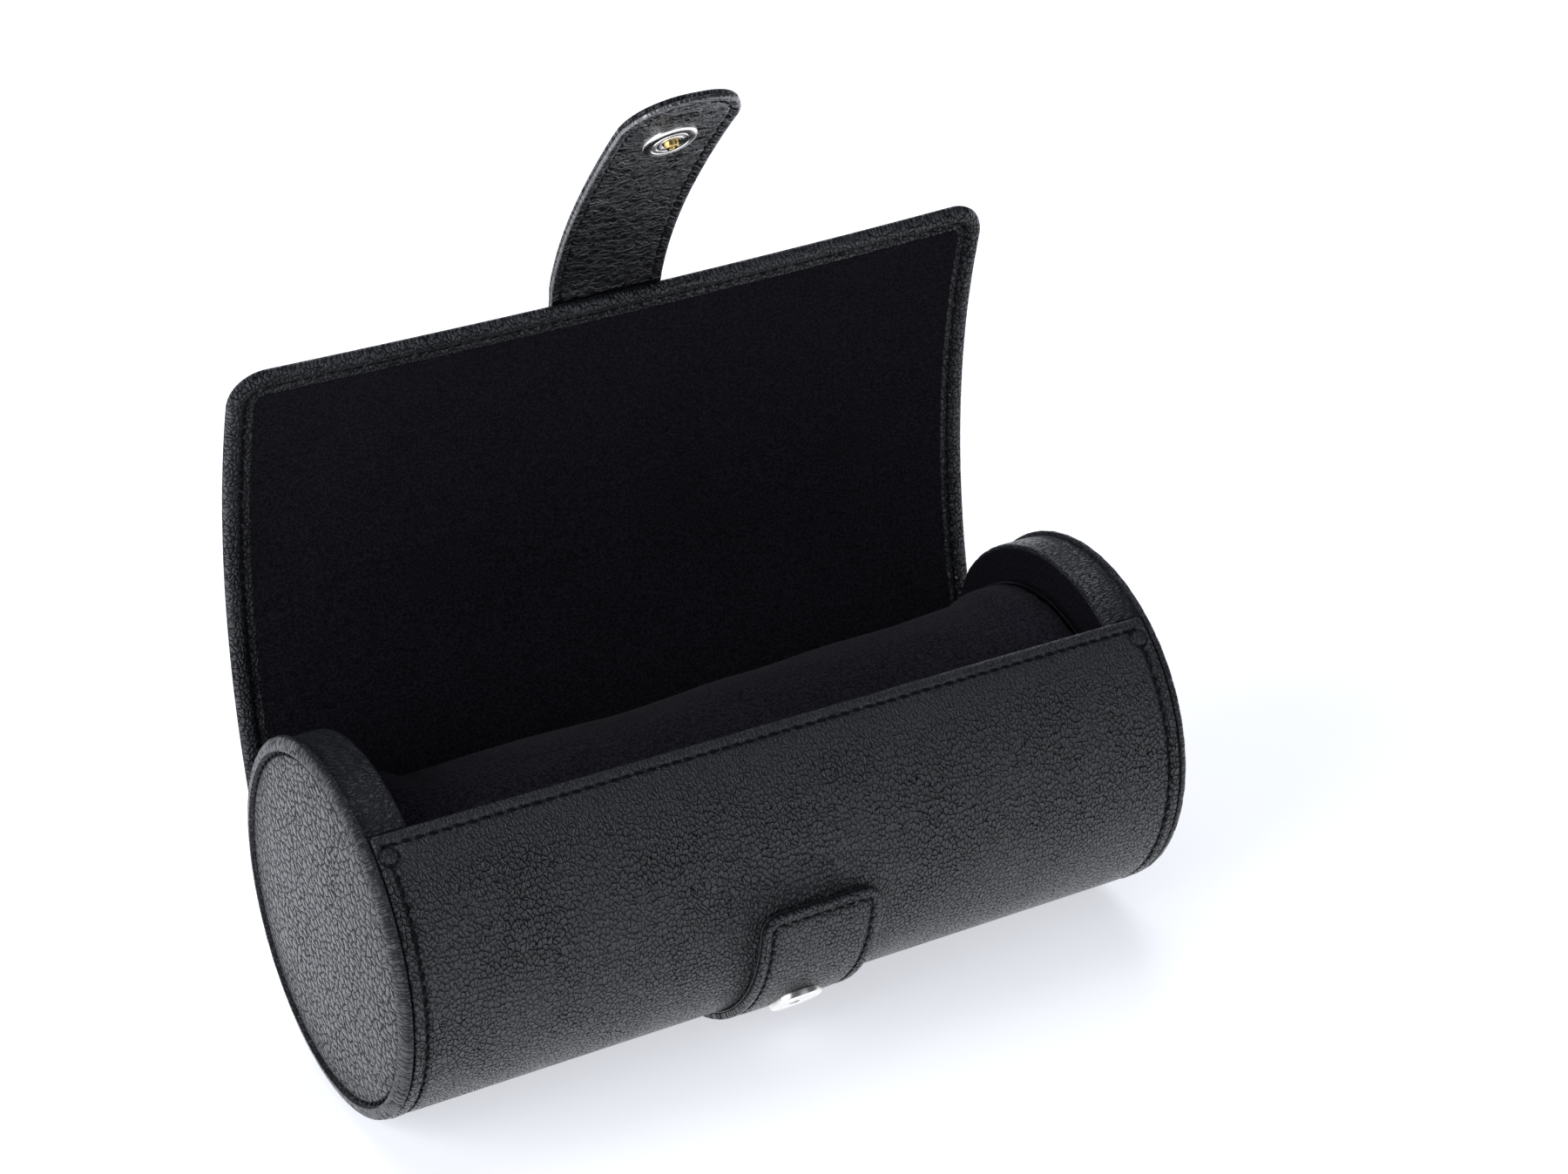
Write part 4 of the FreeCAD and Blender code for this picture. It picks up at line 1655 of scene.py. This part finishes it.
# ------------------------------------------------------------------ metal
@dataclass
class Metal:
    """Snap on the belt, stud on the strap and the tacks at the front corners."""

    roll: Roll
    belt: Belt
    hide: Hide
    seat: float = 1.9
    radius: float = 7.0
    height: float = 2.5
    hole: float = 2.6
    stud_run: float = 62.8
    tack: float = 2.1

    def build(self) -> None:
        """Every metal piece and the covered tacks."""
        self.build_snap()
        self.build_stud()
        self.build_tacks()

    def build_snap(self) -> None:
        """Cover of the magnetic snap on the belt, with its plate."""
        flat = RoundFace(self.roll, FRONT_ANGLE)
        place = flat.axes(0, self.belt.snap + self.hide.run.body_run, self.seat, 0.0)
        top, r, hole = self.height, self.radius, self.hole
        cover = [(hole, 0.6), (hole, top - 0.35), (hole + 0.12, top - 0.12), (hole + 0.4, top),
                 (r - 2.2, top + 0.03), (r - 1.9, top - 0.1), (r - 1.6, top + 0.02), (r - 0.8, top - 0.02),
                 (r - 0.3, top - 0.2), (r - 0.06, top - 0.5), (r, top - 0.8), (r, 0.55), (r - 0.5, 0.55)]
        obj = turned("snap_cover_shell", cover, place, 64, Finish.NICKEL.get(), loop=True)
        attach(obj, "case")
        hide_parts("snap_cover")
        plate = [(0, 0.0), (r + 0.05, 0.0), (r + 0.05, 0.3), (r - 0.2, 0.5), (0, 0.5)]
        base = turned("snap_base_plate", plate, place, 64, Finish.STEEL.get())
        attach(base, "case")
        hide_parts("snap_base")

    def build_stud(self) -> None:
        """Ringed plate and nub on the strap's inner face."""
        outward = self.belt.run.axes(0, self.hide.end + self.stud_run, 0, 0.0)
        place = outward @ Matrix.Rotation(math.pi, 4, "X")
        plate = [(0, 0.62), (2.1, 0.62), (2.3, 0.85), (3.2, 0.95), (3.4, 0.72), (3.6, 0.72),
                 (3.8, 0.95), (4.5, 0.95), (4.7, 0.68), (4.95, 0.68), (5.15, 0.93), (6.2, 0.86),
                 (6.6, 0.7), (6.9, 0.42), (7.0, 0.1), (7.0, -0.3), (0, -0.3)]
        obj = turned("stud_ringed_plate", plate, place, 64, Finish.NICKEL.get())
        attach(obj, "strap_3")
        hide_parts("stud_plate")
        nub = [(0, 1.35), (0.55, 1.35), (0.62, 1.95), (0.8, 2.1), (1.35, 2.1), (1.6, 1.9), (1.75, 1.3),
               (2.0, 0.75), (2.0, 0.5), (0, 0.5)]
        core = turned("stud_rivet_nub", nub, place, 40, Finish.BRASS.get())
        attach(core, "strap_3")
        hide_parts("stud_nub")

    def build_tacks(self) -> None:
        """Tacks covered in leather at the front corners."""
        r = self.tack
        profile = [(0, 0.4), (r * 0.4, 0.36), (r * 0.7, 0.22), (r - 0.3, 0.05), (r - 0.06, -0.2),
                   (r, -0.6), (0, -0.6)]
        from_side, from_front = self.hide.tack_at
        joined = bmesh.new()
        for side in (-1, 1):
            place = self.hide.run.axes(side * (self.roll.half - from_side),
                                       self.hide.start + from_front, 0.0, 0.0)
            tack = turned(f"tack_{side}", profile, place, 32, Finish.RIM_HIDE.get())
            joined.from_mesh(tack.data)
            bpy.data.objects.remove(tack)
        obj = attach(finished("covered_tacks", joined, Finish.RIM_HIDE.get()), "case")
        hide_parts("corner_tacks")


# ------------------------------------------------------------------ cushion
@dataclass
class Cushion:
    """Suede log that watches are strapped round: soft waist and flat sewn ends."""

    low: Vector
    high: Vector
    shrink: float = 2.0
    voxel: float = 4.5
    pressure: float = 4.0
    cap: float = 5.0
    frames: int = 20
    steps: int = 64
    dips: tuple[Spot, ...] = ((-97, 2.2), (-83, 4.6), (-49, 3.8), (-24, 4.3), (15, 2.7), (55, 1.5),
                              (85, 0.4), (97, 0.0))
    sinks_to: Spot = (0.517, 0.856)
    corner: float = 7.0
    edge: float = 3.5
    fold: float = 0.55

    @classmethod
    def packed(cls) -> Cushion:
        """Cushion as large as its packed cover and ends."""
        low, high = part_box("cushion_cover")
        return cls(low / MM, high / MM)

    @property
    def radius(self) -> float:
        """Radius of the log."""
        return (self.high.z - self.low.z) / 2

    @property
    def half(self) -> float:
        """Half the length of the log."""
        return self.high.x

    def place(self, way: int) -> Matrix:
        """Local axes in the log's middle, Z along it to one end.

        Args:
            way: -1 for the left and 1 for the right.

        Returns:
            A matrix that places a piece.
        """
        middle = (self.low + self.high) / 2
        shift = Matrix.Translation(Vector((0, middle.y, middle.z)) * MM)
        return shift @ Matrix.Rotation(QUARTER * way, 4, "Y")

    def dip(self, x: float) -> float:
        """How far the top sinks at a place along the cushion, in mm.

        Args:
            x: along the roll, in mm.

        Returns:
            The depth.
        """
        for (x0, d0), (x1, d1) in zip(self.dips, self.dips[1:]):
            if x <= x1:
                return mix(d0, d1, smooth(x, x0, x1))
        return self.dips[-1][1]

    def build(self) -> None:
        """Cover filled and settled, its end discs and their seams."""
        base = self.log(self.radius - self.shrink, self.half - self.shrink * 0.3)
        filled = self.fill(base)
        self.settle(filled)
        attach(filled, "cushion")
        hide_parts("cushion_cover", "cushion_ends", "cushion_core")
        self.seams()
        LOG.info("cushion: %d faces", len(filled.data.polygons))

    def seams(self) -> None:
        """Folded seam round each end, where the cover meets the end disc."""
        turns = [FULL_TURN * k / 8 for k in range(8)]
        profile = [(self.radius - 0.1 + self.fold * math.cos(a), self.half - 0.3 + self.fold * math.sin(a))
                   for a in turns]
        for end in End:
            ring = turned(f"cushion_seam_{end.label}", profile, self.place(end.value), 128,
                          Finish.CUSHION_FOLD.get(), loop=True)
            self.settle(ring, self.fold)
            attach(ring, "cushion")

    def log(self, radius: float, half: float) -> bpy.types.Object:
        """Plain round log before it is filled.

        Args:
            radius: in mm.
            half: half its length, in mm.

        Returns:
            The log.
        """
        rounding = [(radius - self.edge * (1 - math.sin(a)), half - self.edge * (1 - math.cos(a)))
                    for a in (0.4, 0.8, 1.2, QUARTER)]
        end = [(0.0, half), (radius * 0.5, half), (radius - 7, half)] + rounding
        profile = end + [(radius, half * (1 - k / 12)) for k in range(1, 24)]
        profile += [(r, -z) for r, z in reversed(end)]
        return turned("cushion_pad", profile, self.place(1), self.steps, Finish.SUEDE_CUSHION.get())

    def fill(self, base: bpy.types.Object) -> bpy.types.Object:
        """Cloth filled with pressure, every point kept near where it was.

        Args:
            base: the plain log.

        Returns:
            The same object, filled.
        """
        remesh = base.modifiers.new("even", "REMESH")
        remesh.mode = "VOXEL"
        remesh.voxel_size = self.voxel * MM
        bpy.context.view_layer.objects.active = base
        base.select_set(True)
        bpy.ops.object.modifier_apply(modifier="even")
        before = [v.co.copy() for v in base.data.vertices]
        cloth = base.modifiers.new("cover", "CLOTH")
        cloth.settings.use_pressure = True
        cloth.settings.uniform_pressure_force = self.pressure
        cloth.settings.effector_weights.gravity = 0
        scene = bpy.context.scene
        for number in range(1, self.frames + 1):
            scene.frame_set(number)
        depsgraph = bpy.context.evaluated_depsgraph_get()
        after = [v.co.copy() for v in base.evaluated_get(depsgraph).data.vertices]
        base.modifiers.remove(cloth)
        scene.frame_set(1)
        for vert, old, new in zip(base.data.vertices, before, after):
            move = new - old
            longest = self.cap * MM
            vert.co = old + (move * (longest / move.length) if move.length > longest else move)
        finer = base.modifiers.new("finer", "SUBSURF")
        finer.levels = finer.render_levels = 1
        bpy.ops.object.modifier_apply(modifier="finer")
        return base

    def squared(self, r: float, x: float, radius: float, half: float) -> tuple[float, float]:
        """Point drawn out where the cover turns over the end disc.

        Args:
            r: distance of the point from the log's middle line.
            x: its distance from the log's middle.
            radius: of the log.
            half: half the length of the log.

        Returns:
            Both distances after it, in mm as they are given.
        """
        out, along = (r - radius) / self.corner + 1, (x - half) / self.corner + 1
        if out <= 0 or along <= -1:
            return r, x
        end = max(along, 0.0)
        grow = mix(1.0, (out ** 8 + end ** 8) ** -0.125, smooth(along, -1, 0) * smooth(out, 0, 0.35))
        x = half - self.corner * (1 - end * grow) if along > 0 else x
        return radius - self.corner * (1 - out * grow), x

    def settle(self, obj: bpy.types.Object, grown: float = 0.0) -> None:
        """Sink the top where watches sit, and keep the pad inside its place.

        Args:
            obj: the pad or one of its seams.
            grown: how far it may stand past the log's own size, in mm.
        """
        middle = (self.low + self.high) / 2
        radius, half = self.radius + grown, self.half + grown
        lean = math.atan2(self.sinks_to[1], self.sinks_to[0])
        for vert in obj.data.vertices:
            co = vert.co / MM
            y, z = co.y - middle.y, co.z - middle.z
            r = math.hypot(y, z)
            if r < 1e-6:
                continue
            angle = math.atan2(z, y)
            away = abs((angle - lean + math.pi) % FULL_TURN - math.pi)
            top = max(0.0, math.cos(min(away * 0.85, QUARTER))) ** 1.5
            share = smooth(r / radius, 0.0, 1.0)
            x = max(-half, min(half, co.x))
            out, along = self.squared(min(r, radius), abs(x), radius, half)
            wanted = out - self.dip(co.x) * top * share
            wanted += 0.35 * noise.noise(Vector((co.x / 17, y / 12, z / 12))) * share
            place = (math.copysign(along, x), middle.y + y / r * wanted, middle.z + z / r * wanted)
            vert.co = Vector(place) * MM
        for face in obj.data.polygons:
            face.use_smooth = True
        if not obj.data.materials:
            obj.data.materials.append(Finish.SUEDE_CUSHION.get())


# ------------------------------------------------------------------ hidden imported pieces
def dress_packed() -> None:
    """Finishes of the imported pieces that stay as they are."""
    wanted = {Finish.BOARD: ("body_board", "left_face_board", "right_face_board"),
              Finish.FIBREBOARD: ("left_drum_core", "right_drum_core"),
              Finish.FERRITE: ("snap_magnet",),
              Finish.STEEL: ("snap_washer",)}
    for finish, nodes in wanted.items():
        for node in nodes:
            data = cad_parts[node].data
            data.materials.clear()
            data.materials.append(finish.get())


# ------------------------------------------------------------------ studio
@dataclass(frozen=True)
class Lamp:
    """Square soft lamp: its place and width in metres and its power in watts."""

    name: str
    place: tuple[float, float, float]
    width: float
    power: float

    def build(self, colour: str, target: Vector) -> None:
        """Hang the lamp so that it shines on the target.

        Args:
            colour: sRGB hex value.
            target: a place in metres.
        """
        data = bpy.data.lights.new(self.name, "AREA")
        data.shape, data.size, data.energy = "SQUARE", self.width, self.power
        data.color = linear(colour)[:3]
        lamp = bpy.data.objects.new(self.name, data)
        bpy.context.scene.collection.objects.link(lamp)
        lamp.location = self.place
        lamp.rotation_mode = "QUATERNION"
        lamp.rotation_quaternion = (target - Vector(self.place)).to_track_quat("-Z", "Y")


@dataclass
class Studio:
    """Plain pale floor, soft lamps and the camera."""

    camera_at: tuple[float, float, float] = (-0.36194, -0.65618, 0.50610)
    azimuth: float = -30.06
    elevation: float = 27.59
    lens: float = 78.03
    sensor: float = 36.0
    clip: tuple[float, float] = (0.01, 20.0)
    floor: float = 3.0
    seen_floor: float = 0.62
    mirrored_floor: float = 1.15
    surroundings: float = 0.14
    lamp_colour: str = "f4f7ff"
    lamps: tuple[Lamp, ...] = (Lamp("left_softbox", (-1.1, -0.25, 0.55), 0.9, 12.6),
                               Lamp("top_softbox", (0.1, 0.35, 1.3), 1.1, 6.0),
                               Lamp("front_fill", (0.5, -1.3, 0.7), 0.9, 1.4),
                               Lamp("back_strip", (0.7, 1.0, 0.7), 0.5, 3.0))

    def build(self) -> None:
        """Camera, floor, world and lamps."""
        self.build_camera()
        self.build_floor()
        self.build_world()
        for lamp in self.lamps:
            lamp.build(self.lamp_colour, Vector((0, 0, 0.06)))
        bpy.context.scene.view_settings.view_transform = "Standard"

    def build_camera(self) -> None:
        """Camera at its place, looking down on the roll."""
        data = bpy.data.cameras.new("camera")
        data.lens, data.sensor_width = self.lens, self.sensor
        data.clip_start, data.clip_end = self.clip
        camera = bpy.data.objects.new("camera", data)
        bpy.context.scene.collection.objects.link(camera)
        az, el = math.radians(self.azimuth), math.radians(self.elevation)
        back = Vector((math.sin(az) * math.cos(el), -math.cos(az) * math.cos(el), math.sin(el)))
        camera.location = self.camera_at
        camera.rotation_mode = "QUATERNION"
        camera.rotation_quaternion = (-back).to_track_quat("-Z", "Y")
        bpy.context.scene.camera = camera

    def build_floor(self) -> None:
        """Seamless white floor that keeps the roll's shadow."""
        bm = bmesh.new()
        bmesh.ops.create_grid(bm, x_segments=1, y_segments=1, size=self.floor)
        material = bpy.data.materials.new("white_paper_sweep")
        material.use_nodes = True
        tree = material.node_tree
        tree.nodes.clear()
        matt = add_node(tree, "ShaderNodeBsdfDiffuse", {"Color": linear("ebebeb")})
        rays = add_node(tree, "ShaderNodeLightPath").outputs
        strength = add_node(tree, "ShaderNodeMath", {0: rays["Is Camera Ray"], 1: self.seen_floor},
                            operation="MULTIPLY")
        for ray, glow in (("Is Glossy Ray", self.mirrored_floor),
                          ("Is Transmission Ray", self.seen_floor)):
            strength = add_node(tree, "ShaderNodeMath", {0: rays[ray], 1: glow, 2: strength},
                                operation="MULTIPLY_ADD")
        shown = add_node(tree, "ShaderNodeEmission", {"Color": linear("f6f8ff"),
                                                      "Strength": strength})
        total = add_node(tree, "ShaderNodeAddShader", {0: matt, 1: shown})
        add_node(tree, "ShaderNodeOutputMaterial", {"Surface": total})
        floor = finished("floor", bm, material)

    def build_world(self) -> None:
        """Dim grey surroundings, white where the camera sees them."""
        world = bpy.data.worlds.new("studio")
        bpy.context.scene.world = world
        world.use_nodes = True
        tree = world.node_tree
        tree.nodes.clear()
        rays = add_node(tree, "ShaderNodeLightPath").outputs
        dim = add_node(tree, "ShaderNodeBackground", {"Color": linear("f0f4ff"),
                                                      "Strength": self.surroundings})
        bright = add_node(tree, "ShaderNodeBackground", {"Color": (1, 1, 1, 1), "Strength": 1.0})
        either = add_node(tree, "ShaderNodeMixShader", {0: rays["Is Camera Ray"], 1: dim, 2: bright})
        add_node(tree, "ShaderNodeOutputWorld", {"Surface": either})


# ------------------------------------------------------------------ the whole roll
@dataclass(frozen=True)
class Layout:
    """How the lid and the strap leave the roll and where they bend, angles in degrees."""

    roll: Roll
    lid_lean: float = 20.5
    lid_curl: float = 42.0
    lid_length: float = 145.0
    lid_bodies: int = 6
    strap_lean: float = -27.0
    strap_curl: float = 24.0
    strap_length: float = 85.0
    strap_bodies: int = 3
    hinge_reach: float = 6.0
    lid_reach: float = 8.8
    strap_reach: float = 8.0

    def hide(self) -> HideRun:
        """Run of the leather of the body and the lid.

        Returns:
            The run, 0 at the lid's hinge.
        """
        radius, gap = self.roll.radius, HideRun.gap
        turn, lean = math.radians(HINGE_ANGLE), math.radians(self.lid_lean)
        body = RoundFace(self.roll, FRONT_ANGLE, stands=True)
        lid = Curl(radius * math.sin(turn) + gap * math.sin(lean),
                   self.roll.axis + radius * math.cos(turn) + gap * math.cos(lean),
                   self.lid_lean, self.lid_curl, self.lid_length)
        return HideRun(body, math.radians(360 - HINGE_ANGLE - FRONT_ANGLE) * radius, lid)

    def belt(self, hide: HideRun) -> BeltRun:
        """Run of the belt, which leaves the lid at its free edge."""
        top = hide.lid.place(0, self.lid_length, 0) / MM
        return BeltRun(hide, Curl(top.y, top.z, self.strap_lean, self.strap_curl, self.strap_length))

    def lid_hinges(self) -> list[Hinge]:
        """Places where the lid turns and bends.

        Returns:
            The hinges in order.
        """
        step = self.lid_length / self.lid_bodies
        return [Hinge(HideRun.gap, "case", "lid_1", self.hinge_reach)] + [
            Hinge(HideRun.gap + step * k, f"lid_{k}", f"lid_{k + 1}", self.lid_reach)
            for k in range(1, self.lid_bodies)]

    def strap_hinges(self) -> list[Hinge]:
        """Places where the strap turns on the lid and bends.

        Returns:
            The hinges in order.
        """
        end, step = HideRun.gap + self.lid_length, self.strap_length / self.strap_bodies
        return [Hinge(end, f"lid_{self.lid_bodies}", "strap_1", self.strap_reach)] + [
            Hinge(end + step * k, f"strap_{k}", f"strap_{k + 1}", self.strap_reach)
            for k in range(1, self.strap_bodies)]


def main() -> None:
    """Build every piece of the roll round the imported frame."""
    logging.basicConfig(level=logging.INFO, format="%(name)s: %(message)s")
    roll = Roll.measured()
    layout = Layout(roll)
    run = layout.hide()
    hinges = layout.lid_hinges()

    Studio().build()
    hide = Hide(roll, run, hinges)
    hide.build()
    belt = Belt(roll, layout.belt(run), hinges + layout.strap_hinges())
    belt.build()
    for end in End:
        Cap(roll, end).build()
    Metal(roll, belt, hide).build()
    Cushion.packed().build()
    dress_packed()


if __name__ == "__main__":
    main()
